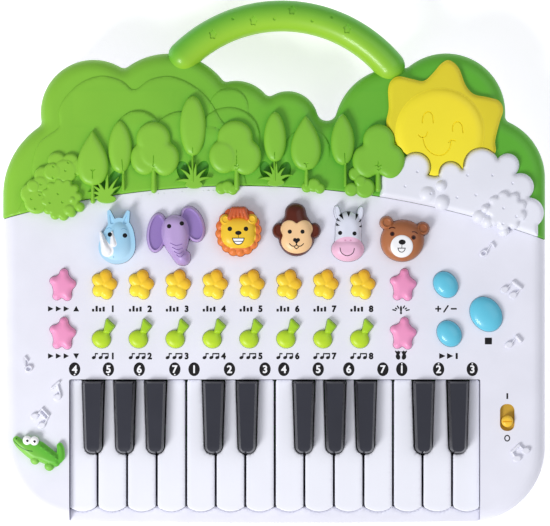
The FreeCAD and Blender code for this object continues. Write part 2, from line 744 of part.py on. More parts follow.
def build_badges():
    """The sun, the cloud and the crocodile: separate mouldings with pegs into the cover or deck."""
    base = cover_height + gap
    sun_x, sun_y = 82.6, 64.8
    rays = [post("sun_plate", sun_x, sun_y, 24, (base, base + 2))]
    for n in (0, 1, 2, 5, 6):
        angle = math.radians(80.5 + 360 / 7 * n)
        x = sun_x + 24.5 * math.cos(angle)
        y = sun_y + 24.5 * math.sin(angle)
        rays.append(post(f"sun_ray_{n}", x, y, 10, (base, base + 2)))
    sun = rays + lobe("sun_disc", sun_x, sun_y, 21.6, 21.6, 0, base, 4.4)
    sun += [post(f"{name}_pin", x, y, 1.5, (31, base + 1)) for name, x, y in badge_pegs[:2]]
    cloud_room = [post(f"cloud_room_{n}", x, y, radius + gap, (base - 1, 60))
                  for n, (x, y, radius) in enumerate(CLOUD)]
    tree_room = [oval(f"tree_room_{n}", x, y, half_x + gap, half_y + gap, 0, (base - 1, 60))
                 for n, (x, y, half_x, half_y) in enumerate(TREES[-2:])]
    finish("sun_badge", cut("sun_badge", join("sun_whole", sun), cloud_room + tree_room))

    cloud = []
    for n, (x, y, radius) in enumerate(CLOUD):
        cloud += lobe(f"cloud_lobe_{n}", x, y, radius, radius, 0, base, 4.2)
    cloud += [post(f"{name}_pin", x, y, 1.5, (31, base + 1)) for name, x, y in badge_pegs[2:]]
    finish("cloud_badge", join("cloud_badge", cloud))

    low = deck_height + gap
    lobes = [
        (-117.5, -95.0, 9.5, 5.2, -28, 3.4), (-125.6, -88.8, 5.2, 2.9, -24, 3.0),
        (-108.2, -96.5, 3.2, 5.6, 20, 2.6), (-121.6, -86.9, 3.6, 2.2, 0, 3.8),
        (-120.0, -100.0, 2.2, 2.6, 0, 2.2), (-112.4, -102.2, 2.2, 2.6, 0, 2.2),
    ]
    crocodile = []
    for n, (x, y, half_x, half_y, tilt, height) in enumerate(lobes):
        crocodile += lobe(f"crocodile_{n}", x, y, half_x, half_y, tilt, low, height + 0.8)
    finish("crocodile_badge", join("crocodile_badge", crocodile))


# ---------------------------------------------------------------- button caps

def flower_shape(name, x, y, grow, z):
    """Five round petals about a heart, slightly narrower than long."""
    pieces = [post(f"{name}_heart", x, y, flower_heart + grow, z)]
    for n in range(5):
        angle = math.radians(72 * n + 4)
        petal_x = x + petal_ring_x * math.cos(angle)
        petal_y = y + petal_ring_y * math.sin(angle)
        pieces.append(post(f"{name}_petal_{n}", petal_x, petal_y, petal_radius + grow, z))
    return pieces


def note_shape(name, x, y, grow, z):
    """A music note: a round head with a short neck and a pointed flag."""
    grow = as_size(grow)
    head = post(f"{name}_head", x - 1, y - 2.8, note_head + grow, z)
    corners = [
        (x + 0.2 - grow, y + 0.4, None),
        (x + 2.6 + grow, y + 0.4, None),
        (x + 3.2 + grow, y + 1.6 - grow, None),
        (x + 5.6 + grow * 1.6, y + 3.8, None),
        (x + 0.8, y + 7.4 + grow * 1.8, None),
        (x + 0.2 - grow, y + 6.6, None),
    ]
    return [head, outline_prism(f"{name}_flag", corners, z)]


def star_shape(name, x, y, grow, z):
    """A five-pointed star turned slightly clockwise, longer in Y than in X."""
    corners = []
    for n in range(10):
        angle = math.radians(85 + 36 * n)
        reach = (star_valley if n % 2 else star_tip) + grow
        corners.append((x + reach * math.cos(angle), y + reach * star_stretch * math.sin(angle), None))
    return outline_prism(name, corners, z)


def plunger(name, x, y):
    return post(f"{name}_plunger", x, y, plunger_radius, (plunger_bottom, flange_bottom + 1))


def build_button_caps():
    body = (flange_top - 1, deck_height + cap_rise)
    flange = (flange_bottom, flange_top)
    for name, x, y in star_places:
        pieces = [star_shape(f"{name}_cap", x, y, 0, body), oval(f"{name}_flange", x, y, 7.8, 9.5, 0, flange),
                  plunger(name, x, y)]
        finish(name, join(name, pieces))

    for name, x, y, half_x, half_y in oval_places:
        pieces = lobe(f"{name}_cap", x, y, half_x, half_y, OVAL_TILT, flange_top - 1, cap_rise + 5)
        pieces += [
            oval(f"{name}_flange", x, y, half_x + 1.2, half_y + 1.2, OVAL_TILT, flange),
            plunger(name, x, y),
        ]
        finish(name, join(name, pieces))

    for name, (middle, lobes) in ANIMALS.items():
        pieces = [plunger(name, *middle)]
        for n, (across, along, half_x, half_y, tilt, rise) in enumerate(lobes):
            x, y = middle[0] + across, middle[1] + along
            height = deck_height - flange_top + 1 + rise
            pieces += lobe(f"{name}_lobe_{n}", x, y, half_x, half_y, tilt, flange_top - 1, height)
            if n < 3:
                pieces.append(oval(f"{name}_flange_{n}", x, y, half_x + 0.9, half_y + 0.9, tilt, flange))
        finish(name, join(name, pieces))

    build_strip("flower_button_strip", flower_places, flower_shape, 0, 7.4, body)
    build_strip("note_button_strip", note_places, note_shape, -2.8, 5.8, body)


def build_strip(name, places, shape, heart_y, flange_radius, body):
    """Eight caps on one runner, moulded together."""
    pieces = []
    for n, (x, y) in enumerate(places):
        pieces += shape(f"{name}_cap_{n}", x, y, 0, body)
        pieces.append(post(f"{name}_flange_{n}", x, y + heart_y, flange_radius, (flange_bottom, flange_top)))
        pieces.append(plunger(f"{name}_{n}", x, y + heart_y))
    first, last = places[0], places[-1]
    runner_y = first[1] + heart_y
    pieces.append(block(f"{name}_runner", (first[0], last[0]), (runner_y - 2, runner_y + 2),
                        (flange_bottom, flange_top - 0.4)))
    finish(name, join(name, pieces))


def build_power_slider():
    pieces = [
        post("slider_knob", slider_x, slider_y, 3.2, (flange_top - 1, deck_height + 1.6)),
        block("slider_ridge", (slider_x - 2.6, slider_x + 2.6), (slider_y - 0.6, slider_y + 0.6),
              (deck_height + 1, deck_height + 2.8)),
        block("slider_plate", (slider_x - 5.2, slider_x + 5.2), (slider_y - 9.5, slider_y + 9.5),
              (flange_bottom, flange_top)),
        block("slider_prong", (slider_x - 0.8, slider_x + 0.8), (slider_y - 0.9, slider_y + 0.9),
              (23, flange_bottom + 1)),
    ]
    finish("power_slider", join("power_slider", pieces))


# ---------------------------------------------------------------- keys

# Offset of each black key from the gap between the two white keys beside it, by gap number.
BLACK_OFFSETS = {1: -0.5, 2: 0.0, 3: 0.6, 5: -1.05, 6: 1.1, 8: -0.5, 9: 0.0, 10: 0.6, 12: -1.05, 13: 1.1}


def new_key_body(name, x):
    """A body whose own origin lies on the pivot axis, at the middle of the key."""
    body = doc.addObject("PartDesign::Body", name)
    return place(body, x, pivot_y, pivot_height)


def pad(body, name, sketch, height):
    feature = body.newObject("PartDesign::Pad", name)
    feature.Profile = sketch
    bind(feature, "Length", height)
    return feature


def bore_key(body, name):
    """The bearing through the key's tail, along the pivot axis."""
    sketch = body_sketch(body, f"{name}_bore_circle", "YZ_Plane")
    circle = sketch.addGeometry(Part.Circle(FreeCAD.Vector(0, 0, 0), FreeCAD.Vector(0, 0, 1), 1.5), False)
    sketch.addConstraint(Sketcher.Constraint("Coincident", circle, 3, -1, 1))
    fix_radius(sketch, circle, rod_radius + rod_clearance)
    bore = body.newObject("PartDesign::Pocket", f"{name}_bore")
    bore.Profile = sketch
    bore.SideType = "Symmetric"
    bind(bore, "Length", key_pitch * 2)


def rectangle(left, right, front, rear):
    return [(left, rear, None), (left, front, None), (right, front, None), (right, rear, None)]


def build_white_key(number):
    name = f"white_key_{number + 1}"
    x = keyboard_middle + key_pitch * (number - 6.5)
    body = new_key_body(name, x)
    half = (key_pitch - key_gap) / 2
    notch = black_half_rear + black_clearance - key_gap / 2
    left = -half
    right = half
    rear_left = left + (notch + BLACK_OFFSETS[number] if number in BLACK_OFFSETS else 0)
    rear_right = right - (notch - BLACK_OFFSETS[number + 1] if number + 1 in BLACK_OFFSETS else 0)
    notch_front = black_front - black_clearance - 0.6 - pivot_y
    tail = tail_end - pivot_y
    corner = key_tip + key_tip_sag - pivot_y

    corners = [(rear_left, tail, None)]
    if number in BLACK_OFFSETS:
        corners += [(rear_left, notch_front, None), (left, notch_front, None)]
    corners += [(left, corner, key_tip_radius), (right, corner, None)]
    if number + 1 in BLACK_OFFSETS:
        corners += [(right, notch_front, None), (rear_right, notch_front, None)]
    corners += [(rear_right, tail, None)]
    outline = body_sketch(body, f"{name}_outline", "XY_Plane", white_bottom - pivot_height)
    draw_outline(outline, corners)
    pad(body, f"{name}_block", outline, white_top - white_bottom)

    hollow = body_sketch(body, f"{name}_hollow_outline", "XY_Plane", white_bottom - pivot_height)
    draw_outline(hollow, rectangle(left + 1.4, right - 1.4, corner + 1, notch_front - 1.6))
    pocket = body.newObject("PartDesign::Pocket", f"{name}_hollow")
    pocket.Profile = hollow
    pocket.Reversed = True
    bind(pocket, "Length", white_top - white_bottom - 1.8)

    middle = (rear_left + rear_right) / 2
    foot = body_sketch(body, f"{name}_foot_outline", "XY_Plane", plunger_bottom - pivot_height)
    draw_outline(foot, rectangle(middle - 1.2, middle + 1.2, -28, -24))
    pad(body, f"{name}_foot", foot, white_bottom - plunger_bottom + 1)
    bore_key(body, name)
    finish(name, body)


def build_black_key(number, gap_number):
    name = f"black_key_{number}"
    x = keyboard_middle + key_pitch * (gap_number - 7) + BLACK_OFFSETS[gap_number]
    body = new_key_body(name, x)
    front = black_front - pivot_y
    rear = black_rear - pivot_y
    foot_level = white_bottom - pivot_height

    def level(label, height, inset, rear_inset):
        """The key's outline at one height, drawn in from the sides and the front."""
        sketch = body_sketch(body, f"{name}_{label}", "XY_Plane", height - pivot_height)
        rear_half = black_half_rear - inset
        front_half = black_half_front - inset
        shoulder = front + 2.2 + inset
        draw_outline(sketch, [
            (-rear_half, rear - rear_inset, None),
            (-front_half, shoulder, black_half_front + 0.6 - inset),
            (front_half, shoulder, None),
            (rear_half, rear - rear_inset, None),
        ])
        return sketch

    lower = level("lower_outline", white_bottom, 0, 0)
    pad(body, f"{name}_base", lower, white_top - white_bottom)
    foot = level("bevel_foot", white_top, 0, 0)
    head = level("bevel_head", black_top, black_bevel, 0.3)
    loft = body.newObject("PartDesign::AdditiveLoft", f"{name}_top")
    loft.Profile = foot
    loft.Sections = [head]

    tail = body_sketch(body, f"{name}_tail_outline", "XY_Plane", white_bottom - pivot_height)
    draw_outline(tail, rectangle(-4, 4, rear - 4, tail_end - pivot_y))
    pad(body, f"{name}_tail", tail, tail_top - white_bottom)
    plunger_outline = body_sketch(body, f"{name}_foot_outline", "XY_Plane", plunger_bottom - pivot_height)
    draw_outline(plunger_outline, rectangle(-1.2, 1.2, -24, -20))
    pad(body, f"{name}_foot", plunger_outline, white_bottom - plunger_bottom + 1)
    bore_key(body, name)
    finish(name, body)


def build_keys():
    for number in range(14):
        build_white_key(number)
    for number, gap_number in enumerate(sorted(BLACK_OFFSETS), start=1):
        build_black_key(number, gap_number)
    half_keyboard = key_pitch * 7
    ends = (keyboard_middle - half_keyboard - 5, keyboard_middle + half_keyboard + 5)
    finish("key_pivot_rod", cross_post("key_pivot_rod", ends, pivot_y, pivot_height, rod_radius))


# ---------------------------------------------------------------- electronics

def build_board():
    board = block("board_sheet", (-112, 121.4), (-95, 33), (board_bottom, board_top))
    parts = [board, block("board_chip", (20, 34), (-2, 12), (board_bottom - 1.6, board_bottom + 0.2))]
    for n, x in enumerate((44, 52, 60)):
        parts.append(post(f"board_capacitor_{n}", x, 6, 2.5, (board_bottom - 7, board_bottom + 0.2)))
    holes = [post(f"board_hole_{n}", x, y, 1.8, (0, 30)) for n, (x, y) in enumerate(board_fixings)]
    finish("main_board", cut("main_board", join("board_with_parts", parts), holes))


def build_mats():
    sheets = [block("button_mat_sheet", (-111, 114), (-44, 24), (mat_bottom, mat_top))]
    places = [(x, y) for x, y in flower_places]
    places += [(x, y - 2.8) for x, y in note_places]
    places += [(x, y) for _, x, y in star_places]
    places += [(x, y) for _, x, y, _, _ in oval_places]
    places += [middle for middle, _ in ANIMALS.values()]
    for n, (x, y) in enumerate(places):
        sheets.append(post(f"button_dome_{n}", x, y, 3, (mat_bottom, dome_top)))
    finish("button_mat", join("button_mat", sheets))

    sheets = [block("key_mat_sheet", (-103, 104), (-82, -70), (mat_bottom, mat_top))]
    for number in range(14):
        x = keyboard_middle + key_pitch * (number - 6.5)
        sheets.append(post(f"white_dome_{number}", x, -78, 2, (mat_bottom, dome_top)))
    for gap_number, offset in BLACK_OFFSETS.items():
        x = keyboard_middle + key_pitch * (gap_number - 7) + offset
        sheets.append(post(f"black_dome_{gap_number}", x, -74, 2, (mat_bottom, dome_top)))
    finish("key_mat", join("key_mat", sheets))


def battery_rows():
    return [battery_front + battery_pitch * (row + 0.5) for row in range(3)]


def build_power_parts():
    middle = (battery_left + battery_right) / 2
    batteries = []
    contacts = []
    for row, y in enumerate(battery_rows()):
        nub_side = 1 if row % 2 else -1
        ends = (middle - cell_length / 2, middle + cell_length / 2)
        batteries.append(cross_post(f"battery_{row}", ends, y, cell_height, cell_radius))
        if nub_side > 0:
            nub = (ends[1] - 0.2, ends[1] + 1.2)
        else:
            nub = (ends[0] - 1.2, ends[0] + 0.2)
        batteries.append(cross_post(f"battery_nub_{row}", nub, y, cell_height, 2.6))
        for side, x in (("left", battery_left + 0.3), ("right", battery_right - 0.9)):
            contacts.append(block(f"contact_{side}_{row}", (x, x + 0.6), (y - 5, y + 5), (5, 17)))
        spring = (ends[1] + 0.4, battery_right - 0.6) if nub_side < 0 else (battery_left + 0.6, ends[0] - 0.4)
        contacts.append(cross_post(f"contact_spring_{row}", spring, y, cell_height, 3.2))
    finish("batteries", join("batteries", batteries))
    finish("battery_contacts", join("battery_contacts", contacts))

    rear = battery_front + battery_pitch * 3
    left = battery_left + 2.5 + 0.4
    right = battery_right - 2.5 - 0.4
    door = [
        block("door_plate", (left, right), (battery_front + 1.4, rear - 1.4), (foot_height, floor_top - 0.2)),
    ]
    for n in (1, 2):
        between_cells = (battery_front + battery_pitch * n - 2, battery_front + battery_pitch * n + 2)
        door.append(block(f"door_hook_{n}", (left - 1.8, left + 2), between_cells, (3.7, 4.9)))
        door.append(block(f"door_hook_web_{n}", (left, left + 2), between_cells, (3, 4.9)))
    screw_y = (battery_front + rear) / 2
    screw_x = right - 2.2
    hole = [post("door_screw_hole", screw_x, screw_y, 1.5, (0, 10))]
    sink = [post("door_screw_sink", screw_x, screw_y, 2.4, (0, foot_height + 1.2))]
    finish("battery_door", cut("battery_door", join("door_whole", door), hole + sink))
    screw = [
        post("door_screw_head", screw_x, screw_y, 2, (foot_height + 0.2, foot_height + 1)),
        post("door_screw_shank", screw_x, screw_y, 1.1, (foot_height + 0.5, 3.5)),
    ]
    finish("door_screw", join("door_screw", screw))

    housing = block("switch_shell", (slider_x - 4, slider_x + 4), (slider_y - 5, slider_y + 9), (20.3, 25))
    track = block("switch_track", (slider_x - 1.4, slider_x + 1.4),
                  (slider_y - 2, slider_y + slider_travel + 2), (22.4, 26))
    finish("switch_housing", cut("switch_housing", housing, [track]))


def build_speaker():
    basket = doc.addObject("Part::Cone", "speaker_basket")
    bind(basket, "Radius1", speaker_radius)
    bind(basket, "Radius2", speaker_radius * 0.5)
    bind(basket, "Height", 8)
    place(basket, speaker_x, speaker_y, 5.2)
    pieces = [
        post("speaker_rim", speaker_x, speaker_y, speaker_radius, (3.8, 5.4)),
        basket,
        post("speaker_magnet", speaker_x, speaker_y, speaker_radius * 0.6, (13, 18)),
    ]
    finish("speaker", join("speaker", pieces))


def build_wires():
    """Two pairs of wires, bent in easy curves from the battery box and the speaker to the board."""
    runs = [
        [(-16, 52, 9), (-10, 46, 14), (-4, 38, 20.5), (-4, 31, 21)],
        [(-16, 50, 9), (-12, 44, 14), (-7, 37, 20.5), (-7, 31, 21)],
        [(60, 44, 15), (54, 40, 17), (48, 36, 20.5), (46, 31, 21)],
        [(62, 44, 15), (58, 40, 17), (52, 36, 20.5), (50, 31, 21)],
    ]
    wire_radius = 0.6
    tubes = []
    for run in runs:
        curve = Part.BSplineCurve()
        curve.interpolate([FreeCAD.Vector(*point) for point in run])
        path = Part.Wire([curve.toShape()])
        ring = Part.Circle(FreeCAD.Vector(*run[0]), curve.tangent(0)[0], wire_radius)
        tubes.append(path.makePipeShell([Part.Wire([ring.toShape()])], True, True))
    item = doc.addObject("Part::Feature", "wires")
    item.Shape = Part.makeCompound(tubes)
    finish("wires", item)


def build_screws():
    pieces = []
    for n, (x, y) in enumerate(white_bosses + cover_bosses):
        pieces.append(post(f"case_screw_head_{n}", x, y, 3, (11.6, 13.7)))
        pieces.append(post(f"case_screw_shank_{n}", x, y, 1.5, (9.5, 28)))
    heads_down = [post(f"case_screw_cut_{n}", x, y, 2, (9, 11.6)) for n, (x, y) in
                  enumerate(white_bosses + cover_bosses)]
    finish("case_screws", cut("case_screws", join("case_screws_whole", pieces), heads_down))
    pieces = []
    for n, (x, y) in enumerate(board_fixings):
        pieces.append(post(f"board_screw_head_{n}", x, y, 2.8, (board_top + gap, board_top + 2)))
        pieces.append(post(f"board_screw_shank_{n}", x, y, 1.0, (10, board_top + 1)))
    finish("board_screws", join("board_screws", pieces))


# ---------------------------------------------------------------- build and write

build_bottom_case()
build_top_case()
build_forest_cover()
build_badges()
build_button_caps()
build_power_slider()
build_keys()
build_board()
build_mats()
build_power_parts()
build_speaker()
build_wires()
build_screws()
doc.recompute()

broken = [item.Name for item in doc.Objects if "Invalid" in item.State or "Error" in item.State]
if broken:
    raise RuntimeError(f"not rebuilt: {broken}")

os.makedirs("parts", exist_ok=True)
for name, item in nodes:
    if item.Shape.isNull() or not item.Shape.isValid():
        raise RuntimeError(f"{name} has no valid shape")
    item.Shape.exportStep(f"parts/{name}.step")
    print(name, round(item.Shape.Volume), len(item.Shape.Solids))
print(len(nodes), "pieces")
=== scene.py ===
from math import asin, atan2, cos, hypot, pi, radians, sin, sqrt

import bpy
import numpy as np
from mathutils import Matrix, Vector
from mathutils.geometry import delaunay_2d_cdt


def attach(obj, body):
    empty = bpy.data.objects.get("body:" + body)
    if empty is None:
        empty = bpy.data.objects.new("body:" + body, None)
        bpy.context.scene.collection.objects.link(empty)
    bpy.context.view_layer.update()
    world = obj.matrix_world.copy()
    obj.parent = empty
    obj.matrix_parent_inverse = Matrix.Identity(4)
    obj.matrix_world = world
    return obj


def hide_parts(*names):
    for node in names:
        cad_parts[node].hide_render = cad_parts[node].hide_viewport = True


# Looks of the toy electronic keyboard. Shapes are drawn in millimetres in the frame's own axes and
# written to Blender in metres. Every moulded piece is a relief: an outline, and a height over it.

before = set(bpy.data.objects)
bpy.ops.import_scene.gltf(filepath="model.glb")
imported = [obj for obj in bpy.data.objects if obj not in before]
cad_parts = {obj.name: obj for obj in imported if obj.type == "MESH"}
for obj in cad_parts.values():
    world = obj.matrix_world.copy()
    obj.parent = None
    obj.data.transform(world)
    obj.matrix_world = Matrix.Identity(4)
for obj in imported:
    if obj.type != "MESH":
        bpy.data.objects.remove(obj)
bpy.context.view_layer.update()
MM = 0.001


# Outlines

class Outline:
    """A flat shape: its distance function, negative inside, and a box around it."""

    def __init__(self, distance, box):
        self.distance = distance
        self.box = box

    def __call__(self, x, y):
        """Exact near the shape, and the distance to its box further off."""
        x, y = np.asarray(x, float), np.asarray(y, float)
        left, front, right, rear = self.box
        beyond_x = np.maximum(np.maximum(left - x, x - right), 0)
        beyond_y = np.maximum(np.maximum(front - y, y - rear), 0)
        gap = np.hypot(beyond_x, beyond_y)
        near = gap < 2
        if near.all():
            return self.distance(x, y)
        if near.any():
            gap[near] = self.distance(x[near], y[near])
        return gap


def boxes(shapes):
    lows = [min(shape.box[k] for shape in shapes) for k in (0, 1)]
    highs = [max(shape.box[k] for shape in shapes) for k in (2, 3)]
    return (*lows, *highs)


def circle(x0, y0, radius):
    box = (x0 - radius, y0 - radius, x0 + radius, y0 + radius)
    return Outline(lambda x, y: np.hypot(x - x0, y - y0) - radius, box)


def ellipse(x0, y0, half_x, half_y, tilt=0):
    c, s = cos(radians(tilt)), sin(radians(tilt))

    def distance(x, y):
        u = (x - x0) * c + (y - y0) * s
        v = (y - y0) * c - (x - x0) * s
        near = np.hypot(u / half_x, v / half_y)
        slope = np.hypot(u / half_x ** 2, v / half_y ** 2)
        return np.where(near < 1e-6, -min(half_x, half_y), near * (near - 1) / np.maximum(slope, 1e-6))
    reach = max(half_x, half_y)
    return Outline(distance, (x0 - reach, y0 - reach, x0 + reach, y0 + reach))


def segments(starts, ends):
    """The area enclosed by line segments that make closed loops."""
    starts, ends = np.asarray(starts, float), np.asarray(ends, float)

    def distance(x, y):
        px, py = np.ravel(x).astype(float), np.ravel(y).astype(float)
        best = np.full(px.shape, np.inf)
        inside = np.zeros(px.shape, bool)
        for (ax, ay), (bx, by) in zip(starts, ends):
            ex, ey = bx - ax, by - ay
            t = np.clip(((px - ax) * ex + (py - ay) * ey) / (ex * ex + ey * ey + 1e-12), 0, 1)
            best = np.minimum(best, (px - ax - t * ex) ** 2 + (py - ay - t * ey) ** 2)
            if ay != by:
                inside ^= ((ay > py) != (by > py)) & (px < ex * (py - ay) / (by - ay) + ax)
        return (np.where(inside, -1, 1) * np.sqrt(best)).reshape(np.shape(x))
    return Outline(distance, (*starts.min(axis=0), *starts.max(axis=0)))


def polygon(points):
    return segments(points, np.roll(points, -1, axis=0))


def curved(points, closed=True, steps=8):
    """Points on a smooth curve through the given ones."""
    known = np.asarray(points, float)
    count = len(known)
    spans = count if closed else count - 1
    out = []
    for k in range(spans):
        index = [k - 1, k, k + 1, k + 2]
        if closed:
            a, b, c, d = known[[i % count for i in index]]
        else:
            a, b, c, d = known[[min(max(i, 0), count - 1) for i in index]]
        for t in np.arange(steps) / steps:
            out.append(0.5 * (2 * b + (c - a) * t + (2 * a - 5 * b + 4 * c - d) * t * t
                              + (3 * b - a - 3 * c + d) * t ** 3))
    if not closed:
        out.append(known[-1])
    return np.array(out)


def stroke(points, radius, end_radius=None):
    """A thick line through points, which may taper to its end."""
    points = np.asarray(points, float)
    last = radius if end_radius is None else end_radius
    widths = np.linspace(radius, last, len(points))

    def distance(x, y):
        best = np.full(np.shape(x), np.inf)
        for (ax, ay), (bx, by), wide, narrow in zip(points, points[1:], widths, widths[1:]):
            length = (bx - ax) ** 2 + (by - ay) ** 2
            t = np.clip(((x - ax) * (bx - ax) + (y - ay) * (by - ay)) / length, 0, 1)
            gap = np.hypot(x - ax - t * (bx - ax), y - ay - t * (by - ay)) - wide - t * (narrow - wide)
            best = np.minimum(best, gap)
        return best
    reach = max(radius, last)
    return Outline(distance, (*(points.min(axis=0) - reach), *(points.max(axis=0) + reach)))


def bow(points, radius, end_radius=None):
    """A thick line along a smooth curve."""
    return stroke(curved(points, closed=False), radius, end_radius)


def rectangle(left, right, front, rear, rounding=0):
    x0, y0 = (left + right) / 2, (front + rear) / 2
    half_x, half_y = (right - left) / 2 - rounding, (rear - front) / 2 - rounding

    def distance(x, y):
        dx, dy = np.abs(x - x0) - half_x, np.abs(y - y0) - half_y
        return np.hypot(np.maximum(dx, 0), np.maximum(dy, 0)) + np.minimum(np.maximum(dx, dy), 0) - rounding
    return Outline(distance, (left, front, right, rear))


def scallops(x, y, ring_x, ring_y, radius, count, start=0):
    """Circles set round an oval."""
    ring = []
    for n in range(count):
        angle = radians(start + 360 / count * n)
        ring.append(circle(x + ring_x * cos(angle), y + ring_y * sin(angle), radius))
    return ring


def union(*shapes):
    return Outline(lambda x, y: np.minimum.reduce([shape(x, y) for shape in shapes]), boxes(shapes))


def common(first, *others):
    return Outline(lambda x, y: np.maximum.reduce([first(x, y)] + [shape(x, y) for shape in others]),
                   first.box)


def without(first, *cuts):
    return Outline(lambda x, y: np.maximum.reduce([first(x, y)] + [-cut(x, y) for cut in cuts]), first.box)


def grow(shape, amount):
    left, front, right, rear = shape.box
    box = (left - amount, front - amount, right + amount, rear + amount)
    return Outline(lambda x, y: shape.distance(x, y) - amount, box)


def soft_low(a, b, softness):
    blend = np.maximum(softness - np.abs(a - b), 0) / softness
    return np.minimum(a, b) - blend * blend * softness / 4


def melt(softness, *shapes):
    """A union whose inner corners are filled with soft curves."""
    def distance(x, y):
        total = shapes[0].distance(x, y)
        for shape in shapes[1:]:
            total = soft_low(total, shape.distance(x, y), softness)
        return total
    return Outline(distance, boxes(shapes))


def baked(shape, step):
    """The same outline, read from a table of its distances."""
    left, front = shape.box[0] - 3, shape.box[1] - 3
    xs = np.arange(left, shape.box[2] + 3, step)
    ys = np.arange(front, shape.box[3] + 3, step)
    table = shape.distance(*np.meshgrid(xs, ys, indexing="ij"))

    def distance(x, y):
        u = np.clip((x - left) / step, 0, len(xs) - 1.001)
        v = np.clip((y - front) / step, 0, len(ys) - 1.001)
        i, j = u.astype(int), v.astype(int)
        a, b = u - i, v - j
        return ((table[i, j] * (1 - a) + table[i + 1, j] * a) * (1 - b)
                + (table[i, j + 1] * (1 - a) + table[i + 1, j + 1] * a) * b)
    return Outline(distance, shape.box)


def solid(shape, step=0.3):
    """The same outline with true distances inside, so that joined shapes swell as one."""
    starts, ends = [], []
    for loop in trace_loops(shape, step, 0):
        starts.extend(loop)
        ends.extend(np.roll(loop, -1, axis=0))
    return baked(segments(starts, ends), step)


def glyph(text, x, y, height, weight=0):
    """The outline of a numeral or sign, centred on a point."""
    curve = bpy.data.curves.new("glyph", "FONT")
    curve.body = text
    writing = bpy.data.objects.new("glyph", curve)
    bpy.context.scene.collection.objects.link(writing)
    bpy.context.view_layer.update()
    mesh = bpy.data.meshes.new_from_object(writing)
    users = {}
    for face in mesh.polygons:
        for key in face.edge_keys:
            users[key] = users.get(key, 0) + 1
    places = np.array([vertex.co[:2] for vertex in mesh.vertices])
    edges = [key for key, count in users.items() if count == 1]
    low, high = places.min(axis=0), places.max(axis=0)
    places = (places - (low + high) / 2) * height / (high[1] - low[1]) + (x, y)
    bpy.data.objects.remove(writing)
    bpy.data.meshes.remove(mesh)
    starts, ends = [places[a] for a, b in edges], [places[b] for a, b in edges]
    return grow(segments(starts, ends), weight)


# Loops of points

def grid_field(shape, step):
    left, front, right, rear = shape.box
    xs = np.arange(left - 2 * step, right + 3 * step, step)
    ys = np.arange(front - 2 * step, rear + 3 * step, step)
    return xs, ys, shape(*np.meshgrid(xs, ys, indexing="ij"))


def trace_loops(shape, step, inset, grid=None):
    """Follow the line at a depth inside an outline on a grid, and return closed loops of points."""
    xs, ys, field = grid or grid_field(shape, step)
    field = field + inset
    field = np.where(np.abs(field) < 1e-9, 1e-9, field)
    inside = field < 0
    mixed = inside[:-1, :-1].astype(int) + inside[1:, :-1] + inside[:-1, 1:] + inside[1:, 1:]
    links = {}
    for i, j in np.argwhere((mixed > 0) & (mixed < 4)):
        corners = [(i, j), (i + 1, j), (i + 1, j + 1), (i, j + 1)]
        crossed = [(a, b) if a < b else (b, a) for a, b in zip(corners, corners[1:] + corners[:1])
                   if inside[a] != inside[b]]
        for a, b in zip(crossed[::2], crossed[1::2]):
            links.setdefault(a, []).append(b)
            links.setdefault(b, []).append(a)
    loops = []
    while links:
        here = next(iter(links))
        path = []
        while here is not None:
            path.append(here)
            onward = [edge for edge in links.pop(here) if edge in links]
            here = onward[0] if onward else None
        if len(path) < 6:
            continue
        loop = []
        for a, b in path:
            share = field[a] / (field[a] - field[b])
            loop.append((xs[a[0]] + share * (xs[b[0]] - xs[a[0]]), ys[a[1]] + share * (ys[b[1]] - ys[a[1]])))
        loops.append(np.array(loop))
    return loops


def even_loop(shape, loop, spacing, inset):
    """Points at even spacing along a loop, pulled onto the line at a depth inside the outline."""
    closed = np.vstack([loop, loop[:1]])
    lengths = np.concatenate([[0], np.cumsum(np.hypot(*np.diff(closed, axis=0).T))])
    count = max(8, int(round(lengths[-1] / spacing)))
    stations = np.linspace(0, lengths[-1], count, endpoint=False)
    x = np.interp(stations, lengths, closed[:, 0])
    y = np.interp(stations, lengths, closed[:, 1])
    tiny = 0.01
    for _ in range(2):
        value = shape(x, y) + inset
        slope_x = (shape(x + tiny, y) - shape(x - tiny, y)) / (2 * tiny)
        slope_y = (shape(x, y + tiny) - shape(x, y - tiny)) / (2 * tiny)
        size = np.maximum(slope_x ** 2 + slope_y ** 2, 0.25)
        x = x - np.clip(value * slope_x / size, -spacing / 3, spacing / 3)
        y = y - np.clip(value * slope_y / size, -spacing / 3, spacing / 3)
    return np.stack([x, y], axis=1)


# Heights

def quarter_round(share):
    share = 1 - np.clip(share, 0, 1)
    return np.sqrt(np.maximum(1 - share ** 2, 0))


def flat(level):
    return lambda x, y: np.full(np.shape(x), float(level))


def mound(shape, base, rise, reach):
    """A cushion that climbs from a base over a distance from its outline and levels off."""
    def height(x, y):
        depth = -shape(x, y)
        return np.where(depth >= -0.03, base + rise * quarter_round(depth / reach), base - 0.6)
    height.shape = shape
    return height


def mounds_on(shapes, base, rise, reach):
    return [mound(shape, base, rise, reach) for shape in shapes]


def hollows(shapes, inset, amount, reach):
    """Stamps over the same shapes drawn smaller."""
    return [(grow(shape, inset), amount, reach) for shape in shapes]


def highest(*heights):
    return lambda x, y: np.maximum.reduce([height(x, y) for height in heights])


def stamp(height, shape, amount, reach):
    """Raise or sink an area of a surface by an amount, with a rounded edge."""
    return lambda x, y: height(x, y) + amount * quarter_round(-shape(x, y) / reach)


# Meshes

def put_in_scene(name, body, mesh, node):
    """Put a mesh in the scene, on its body and in place of its node."""
    item = bpy.data.objects.new(name, mesh)
    bpy.context.scene.collection.objects.link(item)
    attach(item, body)
    if node:
        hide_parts(node)
    return item


